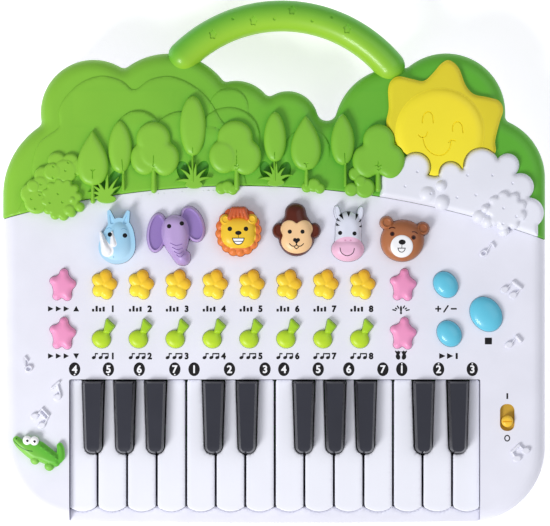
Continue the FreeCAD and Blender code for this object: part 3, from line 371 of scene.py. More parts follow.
def relief(name, body, paint, shape, height, floor, step=0.5, trace=0.2, edge=None,
           rings=(0.1, 0.3, 0.6, 1), creases=(), prints=(), tint=None, crease_angle=40, node=None):
    """One moulded piece: a top that follows the height inside an outline, and walls down to a floor.

    The step is the spacing of points over the top, the edge that along its outline, and the trace the
    grid that the outline is read on. Rings are depths with a row of points each. Each crease is an
    outline whose edge the top keeps. Each print is an outline and a paint. The tint is a share of the
    paint's second colour over the top. The node is the designed part that the piece stands for.
    """
    edge = edge or step
    points, edges = [], []

    def add_loops(outline, spacing, trace_step, insets):
        grid = grid_field(outline, trace_step)
        for inset in insets:
            for loop in trace_loops(outline, trace_step, inset, grid):
                loop = even_loop(outline, loop, spacing, inset)
                first, count = len(points), len(loop)
                points.extend(loop)
                if inset == 0:
                    edges.extend((first + k, first + (k + 1) % count) for k in range(count))

    add_loops(shape, edge, trace, (0, *rings))
    for crease in creases:
        size = min(crease.box[2] - crease.box[0], crease.box[3] - crease.box[1])
        fine = min(trace, max(size / 40, 0.12))
        add_loops(crease, min(edge, fine * 4), fine, (0, 0.25))
    for outline, _ in prints:
        size = min(outline.box[2] - outline.box[0], outline.box[3] - outline.box[1])
        fine = min(max(size / 20, 0.08), 0.25)
        add_loops(outline, fine * 1.6, fine, (0,))
    left, front, right, rear = shape.box
    grid_x, grid_y = np.meshgrid(np.arange(left, right + step, step),
                                 np.arange(front, rear + step, step * 0.866), indexing="ij")
    grid_x = grid_x + np.where(np.arange(grid_x.shape[1]) % 2, step / 2, 0)
    keep = shape(grid_x, grid_y) < -(max(rings, default=0) + step * 0.45)
    for crease in creases:
        keep &= np.abs(crease(grid_x, grid_y)) > step * 0.35
    points.extend(np.stack([grid_x[keep], grid_y[keep]], axis=1))

    result = delaunay_2d_cdt([Vector(point) for point in points], edges, [], 0, 1e-4)
    plan = np.array([tuple(co) for co in result[0]])
    faces = np.array(result[2])
    middles = plan[faces].mean(axis=1)
    faces = faces[shape(middles[:, 0], middles[:, 1]) < 0.02]
    a, b, c = plan[faces[:, 0]], plan[faces[:, 1]], plan[faces[:, 2]]
    along = np.maximum.reduce([shape(*(one + share * (two - one)).T)
                               for one, two in ((a, b), (b, c), (c, a)) for share in (0.13, 0.29, 0.5, 0.8)])
    faces, a, b, c = [values[along < 0.12 + edge * 0.1] for values in (faces, a, b, c)]
    area = (b[:, 0] - a[:, 0]) * (c[:, 1] - a[:, 1]) - (b[:, 1] - a[:, 1]) * (c[:, 0] - a[:, 0])
    faces[area < 0] = faces[area < 0][:, ::-1]
    faces = faces[np.abs(area) > 1e-8]
    middles = plan[faces].mean(axis=1)
    used = np.unique(faces)
    renumber = np.zeros(len(plan), int)
    renumber[used] = np.arange(len(used))
    plan, faces = plan[used], renumber[faces]
    tops = height(plan[:, 0], plan[:, 1])
    corners = [(x, y, z) for (x, y), z in zip(plan, tops)]
    skins = np.zeros(len(faces), int)
    for number, (outline, _) in enumerate(prints, start=1):
        low, high = np.array(outline.box[:2]) - 0.5, np.array(outline.box[2:]) + 0.5
        near = np.all((middles > low) & (middles < high), axis=1)
        inside = np.zeros(len(faces), bool)
        inside[near] = outline(middles[near, 0], middles[near, 1]) < 0
        skins[inside] = number
    directed = set()
    for face in faces:
        directed.update(((int(face[0]), int(face[1])), (int(face[1]), int(face[2])),
                         (int(face[2]), int(face[0]))))
    below, walls = {}, []
    for one, two in sorted(directed):
        if (two, one) in directed:
            continue
        for corner in (one, two):
            if corner not in below:
                below[corner] = len(corners)
                corners.append((corners[corner][0], corners[corner][1], floor))
        walls.append((below[one], below[two], two, one))
    all_faces = [tuple(int(k) for k in face) for face in faces] + walls

    mesh = bpy.data.meshes.new(name)
    mesh.from_pydata([tuple(v * MM for v in corner) for corner in corners], [], all_faces)
    mesh.update()
    for skin in [paint] + [skin for _, skin in prints]:
        mesh.materials.append(paints[skin])
    mesh.polygons.foreach_set("material_index", list(skins) + [0] * len(walls))
    mesh.polygons.foreach_set("use_smooth", [True] * len(all_faces))
    mesh.set_sharp_from_angle(angle=radians(crease_angle))
    if tint is not None:
        where = np.array(corners)
        shares = np.clip(tint(where[:, 0], where[:, 1]), 0, 1)
        mesh.attributes.new("tint", "FLOAT", "POINT").data.foreach_set("value", shares.astype(np.float32))
    item = put_in_scene(name, body, mesh, node)


def tube(name, body, paint, bend, first, last, radius, level, node):
    """The lower half of a bent round bar with round ends."""
    x0, y0, bend_radius = bend
    angles = np.linspace(first, last, 60)
    rings = [(bend_radius, angle, radius, 0) for angle in angles]
    for turn in np.linspace(0.15, pi / 2 - 0.02, 8):
        rings.insert(0, (bend_radius, first, radius * cos(turn), -radius * sin(turn)))
        rings.append((bend_radius, last, radius * cos(turn), radius * sin(turn)))
    corners, faces, around = [], [], 17
    for reach, angle, wide, along in rings:
        for turn in np.linspace(pi, 2 * pi, around):
            out = reach + wide * cos(turn)
            x = x0 + out * cos(angle) - along * sin(angle)
            y = y0 + out * sin(angle) + along * cos(angle)
            corners.append((x * MM, y * MM, (level + wide * sin(turn)) * MM))
    for k in range(len(rings) - 1):
        for m in range(around - 1):
            a = k * around + m
            faces.append((a, a + 1, a + 1 + around, a + around))
    faces.append(tuple(range(around)))
    faces.append(tuple(range(len(corners) - 1, len(corners) - 1 - around, -1)))
    top = [k * around for k in range(len(rings))]
    top += [k * around + around - 1 for k in reversed(range(len(rings)))]
    faces.append(tuple(reversed(top)))
    mesh = bpy.data.meshes.new(name)
    mesh.from_pydata(corners, [], faces)
    mesh.materials.append(paints[paint])
    mesh.polygons.foreach_set("use_smooth", [True] * len(faces))
    mesh.set_sharp_from_angle(angle=radians(50))
    put_in_scene(name, body, mesh, node)


def heap(name, body, paint, mounds, floor, stamps=(), **options):
    """A relief made of mounds that overlap, each keeping its own edge."""
    shape = union(*[part.shape for part in mounds])
    height = highest(*mounds)
    for outline, amount, reach in stamps:
        height = stamp(height, outline, amount, reach)
    creases = [part.shape for part in mounds] if len(mounds) > 1 else []
    creases += [outline for outline, _, _ in stamps]
    relief(name, body, paint, shape, height, floor, creases=creases, **options)


# Materials

def tone(*colour):
    """A colour as the eye sees it, in the linear values that Blender mixes."""
    parts = [value / 255 for value in colour]
    return [v / 12.92 if v <= 0.04045 else ((v + 0.055) / 1.055) ** 2.4 for v in parts] + [1]


def new_material(name):
    material = bpy.data.materials.new(name)
    material.use_nodes = True
    nodes, links = material.node_tree.nodes, material.node_tree.links
    return material, nodes, links, nodes["Principled BSDF"]


def noise(nodes, links, scale, detail=3):
    place = nodes.new("ShaderNodeTexCoord")
    texture = nodes.new("ShaderNodeTexNoise")
    texture.inputs["Scale"].default_value = scale
    texture.inputs["Detail"].default_value = detail
    links.new(place.outputs["Object"], texture.inputs["Vector"])
    return texture.outputs["Fac"]


def remap(nodes, links, value, low, high, from_low=0, from_high=1):
    node = nodes.new("ShaderNodeMapRange")
    ends = (("From Min", from_low), ("From Max", from_high), ("To Min", low), ("To Max", high))
    for key, number in ends:
        node.inputs[key].default_value = number
    links.new(value, node.inputs["Value"])
    return node.outputs["Result"]


def mix(nodes, links, share, one, two, mode="MIX"):
    node = nodes.new("ShaderNodeMix")
    node.data_type = "RGBA"
    node.blend_type = mode
    for socket, value in ((node.inputs[0], share), (node.inputs[6], one), (node.inputs[7], two)):
        if isinstance(value, bpy.types.NodeSocket):
            links.new(value, socket)
        else:
            socket.default_value = value
    return node.outputs[2]


def shaded(nodes, links, base, shade, shader):
    """Give the shader a base colour that is multiplied by a shade of grey."""
    grey = nodes.new("ShaderNodeCombineColor")
    for socket in grey.inputs:
        links.new(shade, socket)
    links.new(mix(nodes, links, 1, base, grey.outputs[0], "MULTIPLY"), shader.inputs["Base Color"])


paints = {}


def plastic(name, colour, roughness, second=None, mottle=0.035, grain=0.06, grain_scale=900, metallic=0,
            coat=0):
    """Moulded plastic: faint clouding of the colour, uneven gloss and a fine mould grain."""
    material, nodes, links, shader = new_material(name)
    clouds = noise(nodes, links, 38, 4)
    base = tone(*colour)
    if second is not None:
        share = nodes.new("ShaderNodeAttribute")
        share.attribute_name = "tint"
        base = mix(nodes, links, share.outputs["Fac"], base, tone(*second))
    shade = remap(nodes, links, clouds, 1 - mottle, 1 + mottle, 0.3, 0.7)
    shaded(nodes, links, base, shade, shader)
    streaks = noise(nodes, links, 160, 2)
    links.new(remap(nodes, links, streaks, roughness - 0.05, roughness + 0.07), shader.inputs["Roughness"])
    bump = nodes.new("ShaderNodeBump")
    bump.inputs["Strength"].default_value = grain
    bump.inputs["Distance"].default_value = 0.0002
    links.new(noise(nodes, links, grain_scale, 3), bump.inputs["Height"])
    links.new(bump.outputs["Normal"], shader.inputs["Normal"])
    shader.inputs["Specular IOR Level"].default_value = 0.32
    shader.inputs["Metallic"].default_value = metallic
    shader.inputs["Coat Weight"].default_value = coat
    paints[name] = material


plastic("white_shell", (231, 231, 242), 0.36)
plastic("lower_shell", (224, 224, 232), 0.42, grain=0.12)
# The second colours of leaf_green and crown_green are darker copies, mixed in as painted shade.
plastic("leaf_green", (136, 196, 58), 0.38, (92, 174, 48))
plastic("crown_green", (142, 200, 62), 0.36, (122, 188, 56))
plastic("leaf_green_painted_shade", (72, 146, 40), 0.45)
plastic("handle_green", (156, 206, 56), 0.32, (92, 182, 52), coat=0.1)
plastic("sun_yellow", (246, 229, 50), 0.36, (242, 218, 48))
plastic("ray_yellow", (226, 212, 44), 0.38, (220, 200, 44))
plastic("cloud_white", (232, 233, 243), 0.36)
plastic("crocodile_green", (96, 182, 56), 0.35, (142, 202, 86))
plastic("key_white", (239, 240, 249), 0.22, coat=0.3, mottle=0.015)
plastic("key_black", (22, 21, 28), 0.25, coat=0.2, mottle=0.1)
plastic("key_black_painted_sheen", (50, 51, 60), 0.32, mottle=0.08, grain=0.2)
plastic("pink", (240, 146, 192), 0.34, (243, 160, 202))
plastic("turquoise", (86, 188, 216), 0.3, (110, 204, 230), coat=0.2)
plastic("flower_yellow", (252, 230, 62), 0.34, (238, 172, 34))
plastic("note_green", (190, 220, 46), 0.34, (146, 202, 40))
plastic("rhino_blue", (162, 210, 238), 0.32, (196, 228, 247))
plastic("horn_white", (244, 244, 248), 0.3)
plastic("elephant_purple", (186, 160, 212), 0.34, (160, 134, 194))
plastic("lion_yellow", (240, 198, 52), 0.34, (236, 184, 48))
plastic("lion_orange", (230, 128, 62), 0.36, (190, 80, 50))
plastic("monkey_brown", (94, 36, 18), 0.3, (78, 26, 14))
plastic("monkey_peach", (246, 204, 152), 0.34)
plastic("zebra_white", (222, 225, 239), 0.32)
plastic("zebra_pink", (240, 190, 218), 0.34)
plastic("rhino_shade", (120, 176, 212), 0.36)
plastic("elephant_shade", (148, 122, 186), 0.38)
plastic("zebra_shade", (214, 150, 184), 0.36)
plastic("bear_dark_brown", (74, 26, 18), 0.3)
plastic("crocodile_dark", (30, 96, 30), 0.4)
plastic("bear_brown", (178, 112, 72), 0.32, (138, 78, 46))
plastic("eye_white", (250, 250, 250), 0.25, coat=0.4)
plastic("ink_black", (6, 5, 8), 0.6, mottle=0.1)
plastic("print_white", (246, 246, 249), 0.4)
plastic("slider_yellow", (248, 200, 62), 0.32)
plastic("slot_painted_shade_yellow", (196, 156, 52), 0.5)
plastic("screw_steel", (150, 150, 156), 0.3, metallic=1, grain=0.3, grain_scale=2500)
plastic("rubber_grey", (120, 122, 128), 0.75, grain=0.3)
plastic("contact_nickel", (190, 186, 176), 0.28, metallic=1, grain=0.2)
plastic("cell_sleeve", (40, 96, 150), 0.35, (196, 160, 60))
plastic("speaker_black", (34, 34, 38), 0.6, grain=0.5)
plastic("switch_metal", (170, 172, 178), 0.35, metallic=1)
plastic("rod_steel", (176, 178, 184), 0.25, metallic=1, grain=0.2, grain_scale=3000)
plastic("wire_red", (190, 36, 34), 0.45)


def circuit_board():
    """Green board with paler copper runs under the lacquer."""
    material, nodes, links, shader = new_material("board_green")
    place = nodes.new("ShaderNodeTexCoord")
    runs = nodes.new("ShaderNodeTexBrick")
    runs.inputs["Scale"].default_value = 160
    runs.inputs["Mortar Size"].default_value = 0.06
    runs.inputs["Color1"].default_value = tone(24, 96, 52)
    runs.inputs["Color2"].default_value = tone(28, 106, 58)
    runs.inputs["Mortar"].default_value = tone(70, 150, 84)
    links.new(place.outputs["Object"], runs.inputs["Vector"])
    blotch = remap(nodes, links, noise(nodes, links, 60), 0.8, 1.1)
    shaded(nodes, links, runs.outputs["Color"], blotch, shader)
    shader.inputs["Roughness"].default_value = 0.35
    paints["board_green"] = material


circuit_board()


# The case's outline

HILLS = [
    (-94.5, 33.8, 41.5, 3), (-90.6, 75.2, 26.5, 3.5), (-53, 70.2, 34.6, 2.5), (-18.9, 72, 19.2, 3),
    (7, 70.8, 15.2, 5), (61.5, 66.5, 31.3, 3), (86.4, 75.2, 29.7, 3), (105, 42.2, 31, 0),
]
CASE_SIDE, CASE_FRONT, CORNER, BOW = 136, -131.25, 37.5, 4800
SPLIT, DECK, COVER, RIM = 22.3, 34, 35, 7
SEAM = (-16, -401.6, 440)


def arc(x0, y0, radius, first, last, spacing=1.2):
    count = max(3, int(abs(last - first) * radius / spacing) + 1)
    return [(x0 + radius * cos(a), y0 + radius * sin(a)) for a in np.linspace(first, last, count)]


def valley(left, right):
    """The centre of the small circle that rests in the valley between two hills."""
    (x1, y1, r1, small), (x2, y2, r2, _) = left, right
    a, b, span = r1 + small, r2 + small, hypot(x2 - x1, y2 - y1)
    along = (a * a - b * b + span * span) / (2 * span)
    up = sqrt(a * a - along * along)
    ux, uy = (x2 - x1) / span, (y2 - y1) / span
    return x1 + along * ux - up * uy, y1 + along * uy + up * ux


def angle_to(from_point, to_point):
    return atan2(to_point[1] - from_point[1], to_point[0] - from_point[0])


def case_points():
    points = []
    start = 0
    for k in range(len(HILLS) - 1, -1, -1):
        x, y, radius, _ = HILLS[k]
        if k == 0:
            points += arc(x, y, radius, start, pi)
            break
        dip = valley(HILLS[k - 1], HILLS[k])
        end = angle_to((x, y), dip)
        points += arc(x, y, radius, start, end + (2 * pi if end < start else 0))
        first, last = angle_to(dip, (x, y)), angle_to(dip, HILLS[k - 1][:2])
        points += arc(*dip, HILLS[k - 1][3], first, last - (2 * pi if last > first else 0), 0.8)[1:-1]
        start = angle_to(HILLS[k - 1][:2], dip)
    bow_y = CASE_FRONT + BOW
    corner_x = CASE_SIDE - CORNER
    corner_y = bow_y - sqrt((BOW - CORNER) ** 2 - corner_x ** 2)
    lean = asin(corner_x / (BOW - CORNER))
    points += arc(-corner_x, corner_y, CORNER, pi, 1.5 * pi - lean)
    points += arc(0, bow_y, BOW, -pi / 2 - lean, -pi / 2 + lean, 6)[1:-1]
    points += arc(corner_x, corner_y, CORNER, -pi / 2 + lean, 0)
    return points


def rounded(level, x, y):
    """A level surface that rounds down along the case's outline."""
    lack = RIM - np.clip(-case(x, y), 0, RIM)
    return level - RIM + np.sqrt(np.maximum(RIM ** 2 - lack ** 2, 0))


case = baked(polygon(case_points()), 0.6)
seam_disc = circle(*SEAM)


# Keys

PITCH, KEY_GAP, KEYS_MIDDLE = 14.81, 1.1, 0.4
KEY_TIP, KEYS_REAR = -124.8, -58.8
KEY_BOTTOM, WHITE_TOP, BLACK_RIM, BLACK_TOP = 25.2, 31, 34.4, 37.6
BLACK_FRONT, BLACK_REAR, BLACK_TIP, BLACK_BEVEL = -95.6, -59.2, 3.5, 1.15
TIP_SWELL, KEY_EDGE = 2.4, 0.7
BLACK_OFFSETS = {1: -1.95, 2: -1.07, 3: -0.45, 5: -1.07, 6: 0.95, 8: -0.26, 9: 0.43, 10: 1, 12: 0.34,
                 13: 2.8}


def black_outline(x, extra=0):
    """A black key from above: a round tip that widens to the rear."""
    tip, rear = BLACK_FRONT + BLACK_TIP, BLACK_REAR + 6
    spine = polygon([(x - 0.7, tip), (x + 0.7, tip), (x + 1.9, rear), (x - 1.9, rear)])
    window = rectangle(x - 9, x + 9, BLACK_FRONT - 9, rear if extra else BLACK_REAR)
    return common(grow(spine, BLACK_TIP + extra), window)


def white_outline(number):
    """A white key from above: straight sides and a front end that bows out."""
    x = KEYS_MIDDLE + PITCH * (number - 6.5)
    half = (PITCH - KEY_GAP) / 2
    radius = half ** 2 / (2 * TIP_SWELL) + TIP_SWELL / 2
    turn = asin(half / radius)
    front = arc(x, KEY_TIP + radius, radius, -pi / 2 - turn, -pi / 2 + turn, 0.8)
    blank = polygon(front + [(x + half, KEYS_REAR), (x - half, KEYS_REAR)])
    return common(blank, rectangle(KEY_WELL[0] + 0.35, KEY_WELL[1] - 0.35, KEY_TIP - 2, KEYS_REAR + 1))


def black_x(gap_number):
    return KEYS_MIDDLE + PITCH * (gap_number - 7) + BLACK_OFFSETS[gap_number]


def build_keys():
    for number in range(14):
        cuts = [black_outline(black_x(gap), 0.5) for gap in (number, number + 1) if gap in BLACK_OFFSETS]
        shape = without(white_outline(number), *cuts)
        relief(f"white_key_cap_{number + 1}", f"white_key_{number + 1}", "key_white", shape,
               mound(shape, WHITE_TOP - KEY_EDGE, KEY_EDGE, KEY_EDGE), KEY_BOTTOM, step=1.6, trace=0.3,
               rings=(0.07, 0.2, 0.4, 0.7), node=f"white_key_{number + 1}")
    for number, gap in enumerate(sorted(BLACK_OFFSETS), start=1):
        x = black_x(gap)
        shape = black_outline(x)
        # The flat top face is printed in a lighter black, a painted sheen where the face catches the light.
        face = grow(shape, -BLACK_BEVEL)

        def height(x, y, shape=shape, face=face):
            depth = -shape(x, y)
            slope = BLACK_RIM + (BLACK_TOP - BLACK_RIM) * np.clip(depth / BLACK_BEVEL, 0, 1)
            nose = np.clip((BLACK_FRONT + 3.4 - y) / 3.4, 0, 1)
            return slope - 1.3 * nose ** 2
        relief(f"black_key_cap_{number}", f"black_key_{number}", "key_black", shape, height, KEY_BOTTOM,
               step=1.2, trace=0.3, rings=(0.3, 0.6, 0.9), creases=(face,),
               prints=[(face, "key_black_painted_sheen")], crease_angle=24, node=f"black_key_{number}")


# Round and shaped button caps

REAR_ROW, FRONT_ROW, COLUMN, FIRST_COLUMN, OVAL_TILT = -11.1, -35.4, 18.45, -85, -54
CAP_FLOOR = 31.5
STARS = {
    "rear_left_star_button": (-105.6, REAR_ROW), "front_left_star_button": (-105.6, FRONT_ROW),
    "rear_right_star_button": (64.6, REAR_ROW), "front_right_star_button": (64.6, FRONT_ROW),
}
OVALS = {
    "volume_button": (85.8, -11.1, 7, 5.8), "demo_button": (87.6, -35.6, 7, 5.8),
    "stop_button": (106, -25.9, 9.3, 7.5),
}
COLUMNS = [FIRST_COLUMN + COLUMN * n for n in range(8)]
STAR_ARMS = [(0.6, 5.9), (-4.4, 1.9), (4.5, 0.4), (-2.9, -5.6), (2.3, -5.9)]


def star_outline(x, y, size=1):
    """A plump star: five arms of uneven length melted together."""
    arms = [stroke([(x, y), (x + across * size, y + along * size)], 4 * size, 2.15 * size)
            for across, along in STAR_ARMS]
    return solid(melt(2 * size, *arms), 0.2 * size)


def petals(x, y):
    places = []
    for n in range(5):
        angle = radians(72 * n + 4)
        places.append(ellipse(x + 2.7 * cos(angle), y + 3.85 * sin(angle), 3.9, 3.3, 72 * n + 4))
    return places


def note_outline(x, y):
    head = melt(1, ellipse(x - 1.3, y - 3, 4.8, 4.4, -25), stroke([(x, y - 2), (x + 1.6, y + 0.6)], 1.9, 1.2))
    corners = [(x + 0.3, y + 0.7), (x + 2.5, y + 0.5), (x + 4.9, y + 3.5), (x + 1.6, y + 6.6)]
    return solid(head, 0.2), grow(polygon(corners), 0.7)


def lit_from_front_left(x0, y0, span):
    """A tint that grows from the front left of a cap to its rear right."""
    return lambda x, y: 0.5 + ((x - x0) + (y - y0)) / span


def row_tint(row, base, span):
    """The same painted light on every cap of a row: a tint that grows towards the rear right, as painted
    shade away from the light.
    """
    left = FIRST_COLUMN - COLUMN / 2
    return lambda x, y: base + ((x - left) % COLUMN - COLUMN / 2 + y - row) / span


def build_caps():
    for name, (x, y) in STARS.items():
        shape = star_outline(x, y)
        heap(f"{name}_cap", name, "pink", [mound(shape, 34.4, 2.6, 3.4)], CAP_FLOOR,
             tint=lit_from_front_left(x, y, -22), node=name)
    for name, (x, y, half_x, half_y) in OVALS.items():
        shape = ellipse(x, y, half_x, half_y, OVAL_TILT)
        heap(f"{name}_cap", name, "turquoise", [mound(shape, 34.6, 3.4, min(half_x, half_y))], CAP_FLOOR,
             step=0.6, trace=0.25, tint=lit_from_front_left(x, y, -36), node=name)
    mounds = []
    for x in COLUMNS:
        mounds += mounds_on(petals(x, REAR_ROW), 34.4, 2.7, 2.9)
    # Painted shade on the flowers: deep orange towards each cap's rear right.
    heap("flower_caps", "flower_button_strip", "flower_yellow", mounds, CAP_FLOOR,
         tint=row_tint(REAR_ROW, 0.42, 18), node="flower_button_strip")
    mounds = []
    for x in COLUMNS:
        head, flag = note_outline(x, FRONT_ROW)
        mounds += [mound(head, 34.4, 2.4, 3.4), mound(flag, 34.6, 2.6, 1.5)]
    # Painted shade on the notes: deeper green towards each cap's rear right.
    heap("note_caps", "note_button_strip", "note_green", mounds, CAP_FLOOR,
         tint=row_tint(FRONT_ROW, 0.4, 22), node="note_button_strip")


# Animal buttons

animal_outlines = []


def animal(name, paint, mounds, **options):
    animal_outlines.append(union(*[part.shape for part in mounds]))
    heap(f"{name}_cap", f"{name}_button", paint, mounds, CAP_FLOOR, step=0.42, node=f"{name}_button",
         **options)


def eyes(places, radius):
    return [(circle(x, y, radius), "ink_black") for x, y in places]


def build_rhino():
    body = solid(melt(5, ellipse(-78.4, 7.4, 9, 8.2), ellipse(-77, 14.6, 6.7, 7.6)))
    ears = [stroke([(-80.8, 20), (-82.2, 25.2)], 2, 0.9), stroke([(-74.2, 20), (-72.8, 25)], 2, 0.9)]
    horn = bow([(-83, 5.9), (-84.6, 9.4), (-86.3, 15)], 3.2, 0.5)
    small_horn = stroke([(-79.9, 9.2), (-80.7, 15.2)], 1.7, 0.5)
    mounds = [mound(body, 35.5, 6.6, 7.5), mound(horn, 38, 4.9, 2.6), mound(small_horn, 40.6, 2.3, 1.4)]
    mounds += mounds_on(ears, 35.2, 3.2, 1.8)
    stamps = hollows(ears, -1, -0.6, 0.6) + [(circle(-79.8, 2.9, 0.5), -0.5, 0.4)]
    prints = [(horn, "horn_white"), (small_horn, "horn_white")] + eyes([(-81.7, 13.9), (-74.2, 13.4)], 1.15)
    brows = [bow([(-83.6, 16.6), (-82.2, 17.3), (-81, 16.9)], 0.16),
             bow([(-76, 16.5), (-74.6, 16.9), (-73.4, 16.2)], 0.16)]
    prints += [(brow, "rhino_shade") for brow in brows]
    # The tint is a painted highlight: the blue turns paler towards the front, where the light falls.
    animal("rhino", "rhino_blue", mounds, stamps=stamps, prints=prints,
           tint=lambda x, y: (6 - y) / 16 + 0.3)


def build_elephant():
    trunk = bow([(-49.2, 12), (-48.3, 6), (-46.7, 1.6), (-44.2, 1), (-43.3, 3.6)], 4.2, 1.5)
    head = solid(melt(5, ellipse(-49.4, 16.8, 6.7, 7), circle(-48.9, 10.5, 5), trunk))
    left_ear = ellipse(-58.5, 14.9, 5, 10, -7)
    right_ear = ellipse(-40.6, 19.2, 5.6, 9.4, 20)
    mounds = [mound(head, 36.5, 5.6, 5.2)]
    mounds += mounds_on((left_ear, right_ear), 35, 2.6, 1.6)
    stamps = hollows((left_ear, right_ear), -1.2, -0.9, 1.2)
    folds = [(-48.6, 9, 0.3), (-48, 6.9, 0.5), (-47.4, 4.9, 0.8), (-46.6, 3.2, 1.2)]
    for k, (x, y, lean) in enumerate(folds):
        reach = 2.9 - 0.35 * k
        fold = curved([(x - reach, y + 0.7), (x, y - 0.5), (x + reach, y + lean)], closed=False)
        stamps.append((stroke(fold, 0.3), -0.5, 0.3))
    # The inner ears are printed in a darker purple as painted shade in the ear hollows.
    prints = [(without(grow(ear, -1.2), head), "elephant_shade") for ear in (left_ear, right_ear)]
    prints += eyes([(-52.2, 18), (-45.9, 19.4)], 1.1)
    animal("elephant", "elephant_purple", mounds, stamps=stamps, prints=prints,
           tint=lambda x, y: (10 - y) / 26)


def build_lion():
    x0, y0 = -17.75, 15.4
    mounds = [mound(ellipse(x0, y0, 9.8, 10.9), 35.5, 3.4, 3)]
    mounds += mounds_on(scallops(x0, y0, 9, 10, 2.55, 16, 6), 35.3, 3.6, 2.4)
    face = grow(rectangle(x0 - 8.8 + 6.4, x0 + 8.8 - 6.4, 7.2 + 6.2, 23 - 6.2), 6.3)
    ears = [circle(-24.3, 21.3, 2.7), circle(-11, 21.5, 2.7)]
    mounds.append(mound(face, 37.2, 3.7, 5.5))
    mounds += mounds_on(ears, 37.6, 3, 1.8)
    strands = [stroke([(x0 + 1.3 * n, 26.4), (x0 + 2.1 * n, 23.4 - 0.3 * n * n)], 1.5, 1.3)
               for n in (-2, -1, 0, 1, 2)]
    mounds += mounds_on(strands, 38.6, 2.9, 1.3)
    smile_top = 12.3
    mouth = common(ellipse(x0, smile_top + 0.1, 3.1, 3.7), rectangle(x0 - 4, x0 + 4, 5, smile_top))
    teeth = grow(mouth, -0.42)
    line = common(stroke([(x0 - 3, 10.5), (x0 + 3, 10.5)], 0.2), teeth)
    hair = union(*strands)
    prints = [(without(face, hair), "lion_yellow")] + [(without(ear, hair), "lion_yellow") for ear in ears]
    prints += eyes([(-22, 16.7), (-13.95, 16.7)], 1.15)
    nose, lip = ellipse(x0, 14.7, 1.6, 1.05), stroke([(x0, 14), (x0, 12.4)], 0.14)
    prints += [(nose, "ink_black"), (lip, "ink_black"), (mouth, "ink_black"), (teeth, "print_white"),
               (line, "ink_black")]
    stamps = hollows(ears, -1.1, -0.7, 0.8)
    # The tint is painted shade: the mane and face darken towards the rear, away from the light.
    animal("lion", "lion_orange", mounds, stamps=stamps, prints=prints, tint=lambda x, y: (y - 14) / 14)


def build_monkey():
    head = solid(melt(3, ellipse(11.2, 12.8, 8.9, 9.6), ellipse(11, 19, 6.8, 5.6), ellipse(10.7, 25.5, 5, 4)))
    ears = [ellipse(2.3, 15.9, 3, 3.8), ellipse(20.2, 15.9, 3, 3.8)]
    face = melt(1.2, circle(7.6, 16.7, 4.3), circle(15, 16.7, 4.3), ellipse(11.3, 10.4, 7.7, 6))
    mounds = [mound(head, 35.6, 5.2, 6)]
    mounds += mounds_on(ears, 35.4, 3.4, 2.4)
    nose = melt(0.4, circle(10.4, 11.2, 0.95), circle(12, 11.2, 0.95), circle(11.2, 10.1, 0.7))
    smile = [bow([(7.7, 9.3), (9, 8.2), (10.6, 8.2), (11.2, 9.1)], 0.24),
             bow([(14.7, 9.3), (13.4, 8.2), (11.8, 8.2), (11.2, 9.1)], 0.24),
             stroke([(11.2, 10.4), (11.2, 9)], 0.22), bow([(10.2, 7.6), (11.2, 6.8), (12.2, 7.6)], 0.22)]
    prints = [(face, "monkey_peach")] + eyes([(7.85, 15.3), (14.2, 15.3)], 1.05)
    prints += [(mark, "ink_black") for mark in [nose] + smile]
    stamps = [(face, 0.35, 0.8)] + hollows(ears, -1.2, -0.7, 0.9)
    # The tint is painted shade: the brown darkens towards the rear, away from the light.
    animal("monkey", "monkey_brown", mounds, stamps=stamps, prints=prints, tint=lambda x, y: (y - 14) / 18)


def build_zebra():
    head = solid(melt(3, ellipse(37.2, 17, 6.6, 8.4), ellipse(37, 10, 6.6, 6)))
    muzzle = ellipse(36.9, 6.6, 8.2, 6.2)
    ears = [ellipse(31.7, 24.8, 1.7, 3.8, 8), ellipse(43.1, 24.5, 1.7, 3.8, -8)]
    mounds = [mound(head, 35.6, 5, 5), mound(muzzle, 35.7, 5.8, 5)]
    mounds += mounds_on(ears, 35.6, 2.6, 1.5)
    wedges = [
        [(36, 25.7), (38.4, 25.7), (37.2, 22.6)], [(32.2, 23.6), (34, 24.6), (34.7, 21.2)],
        [(42.2, 23.9), (40.7, 24.6), (40.6, 21)], [(30.9, 19.8), (31, 18.2), (32.9, 18.3)],
        [(43.8, 18.9), (43.7, 17.4), (42.3, 17.7)], [(31.4, 22.3), (31, 20.9), (33.2, 20.4)],
        [(43.4, 21.9), (43.6, 20.6), (42, 19.9)],
    ]
    prints = [(polygon(wedge), "ink_black") for wedge in wedges]
    prints += [(muzzle, "zebra_pink"), (ellipse(35.5, 11, 0.55, 0.4), "zebra_shade"),
               (ellipse(38.2, 11, 0.55, 0.4), "zebra_shade")]
    prints += eyes([(32.95, 14.7), (40.1, 14.4)], 1.05)
    prints.append((bow([(32.9, 7.2), (33.6, 4.8), (36.4, 3.3), (39.2, 4.6), (40, 7)], 0.2), "ink_black"))
    stamps = hollows(ears, -0.7, -0.5, 0.6)
    animal("zebra", "zebra_white", mounds, stamps=stamps, prints=prints)


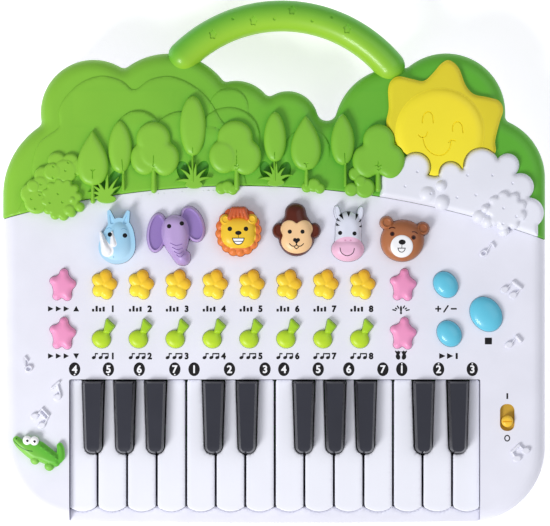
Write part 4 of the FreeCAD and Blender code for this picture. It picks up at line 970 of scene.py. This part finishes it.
def build_bear():
    head = solid(melt(5, ellipse(64, 9.6, 10.4, 9.2), ellipse(64.4, 13.6, 9, 7.2)))
    ears = [circle(56.2, 19.8, 3.4), circle(74.3, 16.9, 3.4)]
    muzzle = circle(63.6, 8, 5.6)
    mounds = [mound(head, 35.6, 5.6, 6.5)]
    mounds += mounds_on(ears, 35.4, 4, 1.9)
    prints = [(muzzle, "print_white")]
    prints += [(circle(x, y, 1.15), "bear_dark_brown") for x, y in ((58.9, 14.2), (69.5, 12.4))]
    prints += [(circle(x, y, 0.62), "ink_black") for x, y in ((58.9, 14.1), (69.5, 12.3))]
    mouth = common(ellipse(63.5, 7.3, 2, 2.4), rectangle(60, 67, 4, 7.3))
    nose, lip = ellipse(63.8, 10.1, 1.75, 1.3), stroke([(63.7, 9.2), (63.6, 7.4)], 0.15)
    prints += [(nose, "ink_black"), (lip, "ink_black"), (mouth, "ink_black"),
               (grow(mouth, -0.4), "print_white")]
    brows = [bow([(57.5, 16.9), (58.8, 17.5), (60.2, 17.1)], 0.28),
             bow([(68.9, 15.2), (70.2, 15.2), (71.4, 14.4)], 0.28)]
    prints += [(brow, "bear_dark_brown") for brow in brows]
    stamps = [(muzzle, 0.4, 1.4)] + hollows(ears, -1.3, -1, 0.9)
    # The tint is painted shade: the brown darkens towards the rear right, away from the light.
    animal("bear", "bear_brown", mounds, stamps=stamps, prints=prints,
           tint=lambda x, y: (x - 62 + y - 10) / 30)


# Forest cover

def leaf(x, low, high, half, waist=0.4, point=0.5):
    """A tree crown: widest at the waist, and more pointed at the top for a larger point value."""
    sides = []
    for t in np.linspace(0, 1, 22):
        if t < waist:
            share = sqrt(max(1 - ((waist - t) / waist) ** 2, 0))
        else:
            share = cos((t - waist) / (1 - waist) * pi / 2) ** point
        sides.append((half * share, low + t * (high - low)))
    right = [(x + wide, y) for wide, y in sides]
    left = [(x - wide, y) for wide, y in reversed(sides[1:-1])]
    return polygon(right + left)


def deepening(x, y):
    """Painted light on the cover: paler at the left, where the light falls, and deeper at the right."""
    return 0.3 + (x + 60) / 220


LAYER = [
    (-121, 18), (-120.6, 40), (-120.9, 50), (-117.2, 60), (-108.6, 66.6), (-107.3, 69.5), (-107.6, 76),
    (-104, 83), (-96, 90.2), (-86, 93.2), (-76, 90.6), (-70, 86.3), (-62, 91.4), (-52, 93), (-42, 89.4),
    (-33, 82), (-27, 72), (-20, 60), (-20, 18),
]
ARCS = [
    (-22.5, 77.3, 9.8, 0.7), (-68, 64.2, 11.6, 1.5), (-47, 61, 14.2, 1.2), (-22.6, 62, 15.7, 1.2),
    (-32, 60.5, 7.8, 1.7), (16.5, 55.5, 11.6, 0.8),
]
CROWNS = [
    [leaf(-90.5, 37.9, 66, 7.9, 0.36, 1)],
    [leaf(-76.8, 44.3, 71, 5.9, 0.48, 0.62)],
    [circle(-60.2, 61.6, 8.5), ellipse(-65, 51.6, 6.6, 8, 12), ellipse(-54.2, 51.6, 6.8, 8.4, -10),
     circle(-59.6, 54.6, 8.4)],
    [leaf(-40.5, 52.8, 83.4, 6.5, 0.5, 0.5)],
    [ellipse(-19.4, 62.4, 8.8, 8.4), ellipse(-13.8, 52.4, 7.4, 8.8, -12), ellipse(-25.2, 52.8, 7.2, 8.4, 8),
     circle(-19.4, 54.6, 8.6)],
    [leaf(0.5, 49.8, 75.4, 5.6, 0.46, 0.55)],
    [leaf(15.9, 45.6, 73.4, 7.6, 0.38, 0.9)],
    [leaf(34.3, 48.4, 74.4, 5.9, 0.44, 0.7)],
    [circle(52.3, 61, 7.9), ellipse(45.6, 50.2, 6.4, 8.2, 10), ellipse(58.6, 50.2, 6.6, 8.6, -10),
     circle(52, 52.6, 8.6)],
]
FRONT_LOBES = {"tree_3": (0, 2, 3), "tree_5": (2,)}
crowns = {f"tree_{n}": solid(melt(1.6, *parts)) for n, parts in enumerate(CROWNS, start=1)}
TRUNKS = [
    (-90.4, 30.5, 42, 1.2), (-75.2, 36.5, 46, 0.9), (-60, 36, 48.5, 1.5), (-40.6, 40.5, 55, 0.8),
    (-18.6, 37, 48.5, 1.5), (0.3, 41, 52, 0.8), (16.2, 38.6, 47.5, 1.2), (35.6, 38.4, 50, 0.8),
    (52, 36.6, 47.5, 1.5),
]
BRANCHES = [
    (-90.4, 49, [(45.6, 2.8, 2.6)]), (-76.3, 56, []), (-60, 56.5, [(48, 4.2, 2.8), (46.4, 2.4, 3.4)]),
    (-40.4, 59.5, []), (-18.6, 56.5, [(48, 4.2, 2.6), (46.2, 2.6, 3.4)]), (0.4, 58, []),
    (16, 55, [(49.2, 4, 1.6)]), (34.8, 59, []), (52.2, 56, [(48, 4, 2.4), (46, 2.6, 3.4)]),
]
TUFTS = [
    (-83.6, 32.4, [(-93.2, 35), (-92, 38.9), (-89.4, 41.6), (-83, 45.2), (-77.4, 42.8), (-76.6, 38.2),
                   (-92, 31)], 2.7),
    (-39.9, 39.6, [(-49.4, 40.6), (-46.8, 46.8), (-43, 49.6), (-38.8, 50.2), (-33.6, 46.9), (-31, 42.4)],
     2.5),
    (1, 40.6, [(-8, 41.6), (-5.6, 45.8), (-2, 48.6), (1.2, 50.6), (5.6, 47.6), (9.4, 43.6)], 2.4),
]
BALLS = {
    "rear_left_bush": ([(-108.4, 50.4, 4.6), (-101.6, 50, 4.4), (-98, 47.4, 4.2), (-104.2, 45.6, 6),
                        (-110.6, 45.2, 4.6)], 1.7),
    "outer_left_bush": ([(-115.2, 43.4, 4.6), (-111, 40.8, 4.8), (-116.6, 39, 4.4)], 2),
    "left_bush": ([(-121.2, 34.4, 5.4), (-118.6, 30.4, 6.2), (-120, 38, 3.6)], 2.4),
    "low_bush_1": ([(-26.3, 36.9, 2.9), (-23.2, 37.6, 3.1), (-20.6, 36.3, 2.6)], 1.6),
    "low_bush_2": ([(16.4, 37.6, 2.7), (19.8, 38.6, 3.4), (22.8, 36.9, 2.6)], 1.6),
    "round_bush": ([(40.8, 44.2, 3.6), (45.4, 37.2, 5), (38.6, 36.4, 3.4), (43.2, 40.6, 3.2)], 2.6),
}
BUSH_DOTS = [
    (-110.05, 48), (-104, 45.8), (-110.2, 42.3), (-116.25, 39), (-116.8, 33.7), (-121.05, 31.7),
    (-119, 26.9), (-111.7, 29.85), (-107.65, 34.25), (-105.45, 30.05), (-102.6, 49.8), (-98.9, 44.2),
    (-70.6, 40.6), (-66.4, 42.6), (-52.6, 40.8), (-34.8, 44.2), (-31.6, 40.4), (-8.6, 44.6), (25.6, 47.4),
    (29.4, 50.2), (24.4, 41.2), (31.6, 41.6), (-47.6, 42.6),
]


def tuft_outline(x, y, tips, foot):
    blades = [stroke(curved([(x, y), ((x + tx) / 2, (y + ty) / 2 + 0.9), (tx, ty)], closed=False, steps=4),
                     1.5, 0.12) for tx, ty in tips]
    return union(ellipse(x, y - 0.8, foot * 1.8, foot * 0.8), *blades)


def ground(x, y):
    """The cover's own surface: a rounded rim, a raised wood behind it and low hills within."""
    z = rounded(COVER, x, y) + 0.8 * quarter_round(-layer_shape(x, y) / 1.6)
    hills = np.zeros_like(z)
    for (_, middle, radius, rise), hill in zip(ARCS, arc_shapes):
        upper = np.clip(0.6 + (y - middle) / radius, 0, 1)
        hills = np.maximum(hills, rise * upper * quarter_round(-hill(x, y) / 1.2))
    dip = quarter_round(-union(*recess_shapes)(x, y) / 1.4)
    fall = 1 - quarter_round(seam_disc(x, y) / 1.2)
    return z + hills - 1.2 * dip - 0.9 * fall


HANDLE_BEND, HANDLE_THICK = (4, 53.05, 70.4), 7.8
layer_shape = polygon(curved(LAYER, steps=5))
arc_shapes = [circle(x, y, radius) for x, y, radius, _ in ARCS]
# The ground dips over these recesses, and they are also printed in a darker green as painted shade.
recess_shapes = [
    ellipse(-79.4, 40.2, 3.6, 6, -14), ellipse(-86.6, 39.4, 2.8, 4.6, 20), ellipse(-45, 45.4, 3.4, 5.4, 20),
    ellipse(-36, 45.6, 3.2, 5.4, -20), ellipse(-4, 46, 3, 4.8, 20), ellipse(5.4, 45.4, 3, 5, -16),
]


def wood(name, mounds, **options):
    # Crowns, trunks, tufts and bushes get the painted light falloff as their tint.
    heap(name, "casing", "crown_green", mounds, 33, tint=deepening, **options)


def build_cover():
    shape = without(case, seam_disc)
    trees = union(*crowns.values())

    # Painted shade on the ground: deeper next to the tree crowns and towards the right edge, on top of the
    # painted light falloff.
    def shade(x, y):
        near_trees = np.exp(-np.maximum(trees(x, y), 0) / 1.6)
        return deepening(x, y) + 0.3 * near_trees + 0.3 * np.clip((x - 60) / 40, 0, 1)
    inner = [grow(case, -k) for k in (1.4, 2.2, 3.4, 5, 7)]
    inner = [without(line, grow(seam_disc, 1)) for line in inner]
    lines = [without(outline, grow(seam_disc, 0.8)) for outline in [layer_shape] + arc_shapes]
    lines = [common(outline, grow(case, -1)) for outline in lines]
    relief("forest_shell", "casing", "leaf_green", shape, ground, SPLIT, step=1.3, trace=0.6, edge=0.8,
           rings=(0.15, 0.45, 0.9), creases=inner + lines, tint=shade, node="forest_cover",
           prints=[(recess, "leaf_green_painted_shade") for recess in recess_shapes])


def build_handle():
    first, last = radians(40.1), radians(134.4)
    grip = stroke(arc(*HANDLE_BEND, first, last, 2.5), HANDLE_THICK)
    star_places = [(-10.2, 120.6), (9, 125.9), (36.5, 116.5), (-30.5, 113.8)]
    dot_places = [(-20.5, 121.4), (0.2, 121.4), (19, 120.4), (28.8, 122.2)]
    marks = [star_outline(x, y, 0.3) for x, y in star_places] + [circle(x, y, 0.8) for x, y in dot_places]
    # The tint is painted shade: the green deepens towards the handle's outer rear rim, away from the light at
    # the front.
    heap("carrying_handle", "casing", "handle_green", [mound(grip, 31, HANDLE_THICK, HANDLE_THICK)], 30.9,
         step=1.1, trace=0.4, rings=(0.1, 0.35, 0.8, 1.5, 2.5, 3.8),
         stamps=[(mark, -0.6, 0.4) for mark in marks],
         tint=lambda x, y: np.clip((np.hypot(x - 4, y - 53.05) - 66) / 11, 0, 1))
    tube("handle_underside", "casing", "handle_green", HANDLE_BEND, first, last, HANDLE_THICK, 30.95,
         "handle_back")


def build_trees():
    for number, (name, crown) in enumerate(crowns.items()):
        x, top, forks = BRANCHES[number]
        trunk_x, foot, trunk_top, half = TRUNKS[number]
        twigs = [stroke([(trunk_x, trunk_top), (x, top)], 0.4, 0.16)]
        for base, span, up in forks:
            for side in (-1, 1):
                twig = [(x, base), (x + side * span * 0.55, base + up * 0.4), (x + side * span, base + up)]
                twigs.append(stroke(curved(twig, closed=False, steps=3), 0.36, 0.16))
        mounds = [mound(crown, 37.2, 2.4, 3.6)]
        if name in FRONT_LOBES:
            lobes = solid(union(*[CROWNS[number][k] for k in FRONT_LOBES[name]]))
            mounds.append(mound(lobes, 37.7, 2.4, 3.6))
        wood(name, mounds, stamps=[(union(*twigs), -0.5, 0.3)], step=0.8, trace=0.3)
        trunk = stroke([(trunk_x, foot), (trunk_x, trunk_top)], half, half * 0.7)
        wood(f"{name}_trunk", [mound(trunk, 36.6, 2.2, half)])


def build_undergrowth():
    for number, (x, y, tips, foot) in enumerate(TUFTS, start=1):
        wood(f"grass_{number}", [mound(tuft_outline(x, y, tips, foot), 36.6, 1.7, 0.4)], step=0.5,
             trace=0.16, rings=(0.1, 0.3))
    for name, (spots, rise) in BALLS.items():
        outlines = [circle(*spot) for spot in spots]
        dots = [(circle(x, y, 0.7), -0.5, 0.5) for x, y in BUSH_DOTS if union(*outlines)(x, y) < -0.8]
        mounds = [mound(outline, 36.5 + 0.25 * k, rise * 0.8, 1.7) for k, outline in enumerate(outlines)]
        wood(name, mounds, stamps=dots, step=0.6, trace=0.25)
    front = solid(union(circle(-106.2, 31.6, 8.6), *scallops(-106.2, 31.6, 8.3, 8.5, 2.4, 12, 8)))
    balls = [circle(-100.6, 31.4, 1.9), circle(-97, 27.6, 2.5), circle(-102, 26.2, 3.1)]
    mounds = [mound(front, 36.8, 2.2, 1.6)] + mounds_on(balls, 37.6, 2.2, 1.8)
    dots = [(circle(x, y, 0.7), -0.5, 0.5) for x, y in BUSH_DOTS if front(x, y) < -1]
    wood("front_bush", mounds, stamps=dots, step=0.6, trace=0.22)


# Sun, cloud and crocodile

RAYS = [
    (87.7, 100.9), (92.3, 96.9), (95.6, 88.6), (99.8, 84), (106.9, 82.4), (112.4, 80.6), (114.4, 76.2),
    (112.6, 70), (110.4, 61), (110, 54), (100, 46), (84, 42), (78.4, 43), (74, 49),
    (66, 54), (60, 60), (56.2, 69), (57.3, 77), (57, 86.4), (58.7, 91), (62.6, 92.8),
    (69.2, 91.5), (74.8, 90.6), (79.4, 94.5), (83.6, 99.3),
]
PUFFS = [(70.9, 47.7, 7.3), (88.2, 44.4, 6), (103.4, 48.2, 9), (116.7, 48.6, 5.8), (123, 37.8, 6.8),
         (127.2, 24.8, 7.6)]
SMALL_PUFFS = [
    (76.5, 34, 4.4, 3.4), (83.4, 38.2, 3.1, 3.6), (83.8, 30, 4.1, 3.8), (105.4, 26.7, 2.4, 4.2),
    (102.4, 23, 3.5, 3.4), (106.6, 20.4, 3.4, 3.8), (114.8, 15.6, 2.6, 3.2),
]
CLOUD_BODY = [
    (53.4, 36), (53.8, 44), (60, 49), (66, 48), (80, 43), (96, 47), (112, 49), (120, 42),
    (126, 32), (131.4, 22), (130, 8), (116, 8), (90, 18), (60, 27), (52.6, 30),
]
CLOUD_DIMPLES = [
    (71.5, 45.25), (65.4, 37.95), (96.5, 43.5), (109, 43.5), (119, 39.45), (100.7, 33.65), (91.3, 32.4),
    (78.1, 34.25), (114.35, 27.05), (120.75, 22.85), (114, 19.25),
]
cloud_body = solid(without(union(polygon(curved(CLOUD_BODY, steps=4)), *[circle(*puff) for puff in PUFFS]),
                           grow(seam_disc, -0.1)))
cloud_bloom = solid(union(circle(115.8, 25.8, 8.4), *scallops(115.8, 25.8, 7.8, 7.4, 2.9, 9, 20)))
cloud_outline = union(cloud_body, cloud_bloom, *[circle(x, y, radius) for x, y, radius, _ in SMALL_PUFFS])


def build_sun():
    behind = (grow(cloud_outline, 0.2), grow(crowns["tree_9"], 0.2))
    rays, disc = polygon(curved(RAYS, steps=6)), circle(82.65, 64.75, 22.2)
    shape = without(rays, *behind)
    face = [
        bow([(73.9, 69.6), (74.6, 73.4), (77, 75.2), (79, 73.4), (79.4, 69.6)], 0.36),
        bow([(89, 65.4), (89.4, 68.6), (91.4, 70.2), (93.6, 68.6), (94.2, 64.6)], 0.36),
        bow([(74.2, 62.4), (75.6, 57.6), (79.4, 54), (84, 53.6), (87.4, 56.6), (88.4, 60.8)], 0.36),
        bow([(72, 63.6), (73.4, 62.4), (75.6, 63), (76.6, 65)], 0.34),
        bow([(87, 59.8), (88.4, 61), (90.4, 60.6)], 0.34),
    ]
    height = highest(mound(rays, 35.4, 2.4, 2.2), mound(disc, 37.2, 2.2, 5))
    for mark in face:
        height = stamp(height, mark, -0.5, 0.3)
    # The tint is painted shade: both yellows deepen towards the upper right, away from the light.
    relief("sun", "casing", "ray_yellow", shape, height, 33.5, step=0.9, trace=0.3, edge=0.6, creases=face,
           prints=[(without(disc, *behind), "sun_yellow")], tint=lambda x, y: (y + x - 150) / 60,
           node="sun_badge")


def build_cloud():
    mounds = [mound(cloud_body, 35, 3, 2.6), mound(cloud_bloom, 36.4, 3.6, 2.2)]
    mounds += [mound(circle(x, y, radius), 36.4, rise, radius) for x, y, radius, rise in SMALL_PUFFS]
    dents = [(circle(x, y, 0.75), -0.6, 0.6) for x, y in CLOUD_DIMPLES]
    heap("cloud", "casing", "cloud_white", mounds, 33.5, stamps=dents, step=0.75, trace=0.3,
         node="cloud_badge")


def build_crocodile():
    back = [
        (-130.4, -88.4), (-129, -86.8), (-127.4, -87.3), (-125.4, -88.6), (-121, -88.6), (-116.6, -89.4),
        (-113.2, -91.6), (-110, -94.2), (-107, -97), (-107.6, -101.6), (-112, -101.6), (-116.6, -99.8),
        (-121.3, -98.4), (-125.2, -95.4), (-128.8, -91.8),
    ]
    back = polygon(curved(back, steps=5))
    tail = bow([(-109.2, -98.6), (-106.9, -97.4), (-106.5, -94), (-107, -91.6)], 2.6, 1.5)
    feet = [ellipse(-119.4, -98.8, 2.3, 2.1, -30), ellipse(-112.2, -101.8, 2.4, 2.3, -20)]
    eyes_at = [(-123.2, -88.7), (-119.6, -89)]
    balls = [circle(x, y, 2.3) for x, y in eyes_at]
    mounds = [mound(back, 34.4, 3.4, 3), mound(tail, 34.4, 2.6, 1.8)]
    mounds += mounds_on(feet, 34.6, 3, 1.8)
    mounds += mounds_on(balls, 36.8, 1.8, 1.8)
    ridges = [(ellipse(-116 + 2.5 * n, -92.2 - 1.9 * n, 1, 0.7, -35), 0.5, 0.6) for n in range(4)]
    mouth = bow([(-129.9, -89), (-127.2, -91.6), (-123.6, -93.6), (-120.6, -94.2)], 0.2)
    nostril = circle(-128.6, -88, 0.35)
    prints = [(ball, "eye_white") for ball in balls]
    prints += [(circle(x + 0.2, y - 0.3, 0.65), "ink_black") for x, y in eyes_at]
    prints += [(mouth, "crocodile_dark"), (nostril, "crocodile_dark")]
    # The tint is a painted highlight: the green turns paler towards the front left, where the light falls.
    heap("crocodile", "casing", "crocodile_green", mounds, 33.6, stamps=ridges, prints=prints, step=0.45,
         tint=lambda x, y: 0.1 + (-0.62 * (x + 117) - 0.8 * (y + 94.5)) / 8, node="crocodile_badge")


# White deck

DISCS = [(-99.7, "4", -1), (-82.8, "5", -1), (-67.35, "6", -1), (-49.6, "7", -1), (-39.95, "1", 0),
         (-22.25, "2", 0), (-4.5, "3", 0), (4.9, "4", 0), (22.1, "5", 0), (37.4, "6", 0), (54.45, "7", 0),
         (63.9, "1", 1), (82.3, "2", 1), (99.15, "3", 1)]
DISC_ROW, REAR_LABELS, FRONT_LABELS = -53.4, -23.2, -46.8
KEY_WELL = (-102.5, 103.25, -58.5, -125.4)
SLOT = (113, 120.3, -84.3, -70.8)


def caps_outlines():
    shapes = [star_outline(x, y) for x, y in STARS.values()]
    shapes += [ellipse(x, y, half_x, half_y, OVAL_TILT) for x, y, half_x, half_y in OVALS.values()]
    for x in COLUMNS:
        shapes.append(union(*petals(x, REAR_ROW)))
        shapes.append(union(*note_outline(x, FRONT_ROW)))
    return shapes


def button_label(x, y, number, note):
    """A bold sign and a numeral: two notes for tunes, four bars for rhythms."""
    marks = []
    if note:
        for left, width in ((x - 6, 0), (x - 2.6, 3)):
            for k in range(2 if width else 1):
                at = left + width * k
                stalk = rectangle(at + 1.4, at + 1.95, y - 0.8, y + 1.5)
                marks.append(union(ellipse(at + 0.9, y - 0.8, 1.05, 0.8, 20), stalk))
            marks.append(rectangle(left + 1.4, left + 1.95 + max(width, 1.1), y + 0.8, y + 1.5, 0.1))
    else:
        for k, tall in enumerate((1.4, 2.9, 1.9, 2.5)):
            left = x - 6 + 1.75 * k
            marks.append(rectangle(left, left + 1.15, y - 1.4, y - 1.4 + tall, 0.2))
    marks.append(glyph(number, x + 4.4, y, 2.9, 0.26))
    return marks


def label_outlines():
    marks = []
    for n, x in enumerate(COLUMNS, start=1):
        marks += button_label(x, REAR_LABELS, str(n), False)
        marks += button_label(x, FRONT_LABELS, str(n), True)
    for y, up in ((REAR_LABELS, 1), (FRONT_LABELS, -1)):
        for k in range(3):
            left = -113 + 3.9 * k
            marks.append(polygon([(left, y - 1.4), (left + 2.8, y), (left, y + 1.4)]))
        marks.append(polygon([(-100.4, y - 1.3 * up), (-97.4, y - 1.3 * up), (-98.9, y + 1.5 * up)]))
    sign_x = 63.5
    for n in range(7):
        angle = radians(18 + 24 * n)
        ends = [(sign_x + reach * cos(angle), -24.6 + reach * sin(angle) * 0.7)
                for reach in (2.8, 3.7 if n % 2 else 4.3)]
        marks.append(stroke(ends, 0.34))
    marks.append(glyph("!", sign_x, -24, 3.2, 0.3))
    for side in (-1, 1):
        palm = ellipse(sign_x + side * 1.5, -47.2, 1.1, 1.5, -side * 20)
        tips = [(sign_x + side * (0.5 + 0.75 * k), -44.6 + 0.25 * (k % 2)) for k in range(4)]
        fingers = [stroke([(sign_x + side * 1.4, -46.8), tip], 0.3) for tip in tips]
        marks.append(union(palm, *fingers))
    marks += [rectangle(80.6, 83.6, REAR_LABELS - 0.4, REAR_LABELS + 0.4),
              rectangle(81.7, 82.5, REAR_LABELS - 1.5, REAR_LABELS + 1.5),
              stroke([(85, REAR_LABELS - 1.5), (87, REAR_LABELS + 1.5)], 0.4),
              rectangle(88.4, 91.4, REAR_LABELS - 0.4, REAR_LABELS + 0.4)]
    for k in range(2):
        left = 82.6 + 3.9 * k
        marks.append(polygon([(left, FRONT_LABELS - 1.5), (left + 3.2, FRONT_LABELS),
                              (left, FRONT_LABELS + 1.5)]))
    marks.append(rectangle(90.8, 91.9, FRONT_LABELS - 1.5, FRONT_LABELS + 1.5))
    marks.append(rectangle(105.4, 109, -41, -37.6, 0.2))
    marks.append(rectangle(116.2, 117.1, -68.3, -65.4))
    return marks


def build_deck():
    left, right, rear, _ = KEY_WELL
    well = rectangle(left, right, CASE_FRONT - 9, rear, 0.8)
    slot_hole = rectangle(*SLOT, 3.3)
    holes = [grow(shape, 0.16) for shape in caps_outlines() + animal_outlines] + [slot_hole]
    shape = without(common(case, grow(seam_disc, -0.3)), well, *holes)
    prints = []
    for x, digit, dot in DISCS:
        prints.append((ellipse(x, DISC_ROW, 2.85, 3.45), "ink_black"))
        prints.append((glyph(digit, x, DISC_ROW, 3.6, 0.16), "print_white"))
        if dot:
            prints.append((circle(x, DISC_ROW + 2.7 * dot, 0.38), "print_white"))
    prints += [(mark, "ink_black") for mark in label_outlines()]
    zero = ellipse(116.6, -87.9, 1.5, 1.7)
    prints += [(zero, "ink_black"), (grow(zero, -0.6), "white_shell")]
    inner = [without(grow(case, -k), grow(well, 0.6)) for k in (0.7, 1.4, 2.4, 3.6, 5.2, 7)]
    inner = [common(line, grow(seam_disc, -2)) for line in inner]
    relief("deck", "casing", "white_shell", shape, lambda x, y: rounded(DECK, x, y), SPLIT, step=3.2,
           edge=0.7, trace=0.35, rings=(0.35,), creases=inner, prints=prints, node="top_case")

    front_band = rectangle(left + 0.05, right - 0.05, CASE_FRONT - 2, KEY_TIP + 2.5)
    gaps = [grow(white_outline(number), 0.3) for number in range(14)]
    lip_shape = without(common(grow(case, -0.05), front_band), *gaps)
    relief("key_lip", "casing", "white_shell", lip_shape, mound(lip_shape, 27, 1, 1), SPLIT, step=2,
           trace=0.3, rings=(0.1, 0.3, 0.6, 1))
    shelf_shape = rectangle(left + 0.05, right - 0.05, KEY_WELL[3] - 0.5, KEY_TIP + 7)
    relief("key_shelf", "casing", "white_shell", shelf_shape, flat(20.8), 19.5, step=3, trace=0.5)
    # The plate under the slot is the slider's yellow darkened as painted shade, where the deck shades the
    # slot.
    plate_shape = rectangle(SLOT[0] - 0.6, SLOT[1] + 0.6, SLOT[2] - 0.6, SLOT[3] + 0.6, 1)
    relief("slot_plate", "casing", "slot_painted_shade_yellow", plate_shape, flat(32.2), 31.2, step=1)
    knob_shape = circle(116.65, -79.4, 2.95)
    grips = [(stroke([(114.6, -79.4), (118.7, -79.4)], 0.35), -0.6, 0.35)]
    heap("slider_knob", "power_slider", "slider_yellow", [mound(knob_shape, 34.6, 2, 1.6)], 32.4, step=0.5,
         stamps=grips, node="power_slider")


# Raised notes on the deck

def note_head(x, y, ring=False):
    outline = ellipse(x, y, 2.15, 1.75, 25)
    return without(outline, ellipse(x, y, 1, 0.75, 25)) if ring else outline


def stem(first, last, width=0.42):
    return stroke([first, last], width)


def build_raised_notes():
    groups = {
        "note_1": [note_head(-122.6, -53.1, ring=True), stem((-124.3, -52.2), (-124.4, -47.3)),
                   stem((-124.4, -47.4), (-123, -49.2))],
        "note_2": [note_head(-108.3, -67.4), stem((-106.6, -66.6), (-108.2, -61.2)),
                   stem((-111, -62.9), (-107.4, -59.8), 0.7)],
        "note_3": [note_head(-119.7, -77), note_head(-116.2, -81.5), stem((-118.2, -76), (-115.8, -73.2)),
                   stem((-114.5, -80.6), (-112.6, -76.6)), stem((-115.8, -73.2), (-112.6, -76.6), 0.6),
                   stem((-117.2, -74.8), (-113.6, -78.6), 0.5)],
        "note_4": [note_head(104.8, 4.6, ring=True), stem((106.4, 5.6), (108.8, 9.6)),
                   stem((108.8, 9.6), (110.2, 7.6), 0.5)],
        "note_5": [note_head(115.2, -13.6), note_head(119.4, -16.4), stem((116.8, -12.8), (119.5, -9.8)),
                   stem((121, -15.6), (123.4, -12.9)), stem((119.5, -9.8), (123.4, -12.9), 0.8)],
        "note_6": [note_head(117.4, -41.2), stem((118.9, -40.2), (121.2, -37)),
                   stem((121.2, -37), (123.3, -39.4), 0.8)],
        "note_7": [note_head(125.8, -94.1), note_head(121.5, -98.1), stem((122.4, -91.3), (124.6, -93.4)),
                   stem((118.9, -94.7), (120.6, -97.2)), stem((118.9, -94.7), (122.4, -91.3), 0.8)],
    }
    for name, parts in groups.items():
        outline = melt(0.3, *parts)
        relief(f"raised_{name}", "casing", "white_shell", outline, mound(outline, 34.4, 1.2, 0.55), 33.8,
               step=0.35, trace=0.12, rings=(0.1, 0.25))


# Parts shown as designed

NODE_LOOKS = {
    "bottom_case": "lower_shell", "battery_door": "lower_shell", "door_screw": "screw_steel",
    "case_screws": "screw_steel", "board_screws": "screw_steel", "speaker": "speaker_black",
    "main_board": "board_green", "button_mat": "rubber_grey", "key_mat": "rubber_grey",
    "battery_contacts": "contact_nickel", "batteries": "cell_sleeve", "switch_housing": "switch_metal",
    "key_pivot_rod": "rod_steel", "wires": "wire_red",
}


def dress_nodes():
    for name, paint in NODE_LOOKS.items():
        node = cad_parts[name]
        node.data.materials.clear()
        node.data.materials.append(paints[paint])


# Stage, light and camera

def build_stage():
    floor_material, nodes, links, shader = new_material("floor_paper")
    shader.inputs["Base Color"].default_value = tone(250, 250, 252)
    shader.inputs["Roughness"].default_value = 0.9
    shader.inputs["Emission Color"].default_value = (1, 1, 1, 1)
    shader.inputs["Emission Strength"].default_value = 0.42
    mesh = bpy.data.meshes.new("floor")
    reach, level = 3, -0.0005
    corners = [(-reach, -reach, level), (reach, -reach, level), (reach, reach, level),
               (-reach, reach, level)]
    mesh.from_pydata(corners, [], [(0, 1, 2, 3)])
    mesh.materials.append(floor_material)
    floor = bpy.data.objects.new("floor", mesh)
    bpy.context.scene.collection.objects.link(floor)


def add_light(name, place, size, power, colour=(1, 1, 1)):
    lamp = bpy.data.lights.new(name, "AREA")
    lamp.shape = "SQUARE"
    lamp.size = size
    lamp.energy = power
    lamp.color = colour
    item = bpy.data.objects.new(name, lamp)
    item.location = place
    item.rotation_euler = (-Vector(place)).to_track_quat("-Z", "Y").to_euler()
    bpy.context.scene.collection.objects.link(item)


def build_lights_and_camera():
    scene = bpy.context.scene
    world = bpy.data.worlds.new("studio")
    world.use_nodes = True
    world.node_tree.nodes["Background"].inputs["Color"].default_value = (0.94, 0.95, 1, 1)
    world.node_tree.nodes["Background"].inputs["Strength"].default_value = 0.46
    scene.world = world
    add_light("key_light", (-0.75, -0.85, 0.95), 0.5, 16)
    add_light("fill_light", (0.9, 0.5, 1.3), 1.2, 4.2)
    scene.view_settings.view_transform = "Standard"
    scene.view_settings.look = "None"
    lens = bpy.data.cameras.new("camera")
    lens.sensor_width = 36
    distance, view_width = 1.6, 0.275
    lens.lens = lens.sensor_width * distance / view_width
    lens.clip_start = 0.01
    camera = bpy.data.objects.new("camera", lens)
    camera.location = (0.0005, -0.0003, 0.034 + distance)
    scene.collection.objects.link(camera)
    scene.camera = camera


build_keys()
build_caps()
build_rhino()
build_elephant()
build_lion()
build_monkey()
build_zebra()
build_bear()
build_cover()
build_handle()
build_trees()
build_undergrowth()
build_sun()
build_cloud()
build_crocodile()
build_deck()
build_raised_notes()
dress_nodes()
build_stage()
build_lights_and_camera()
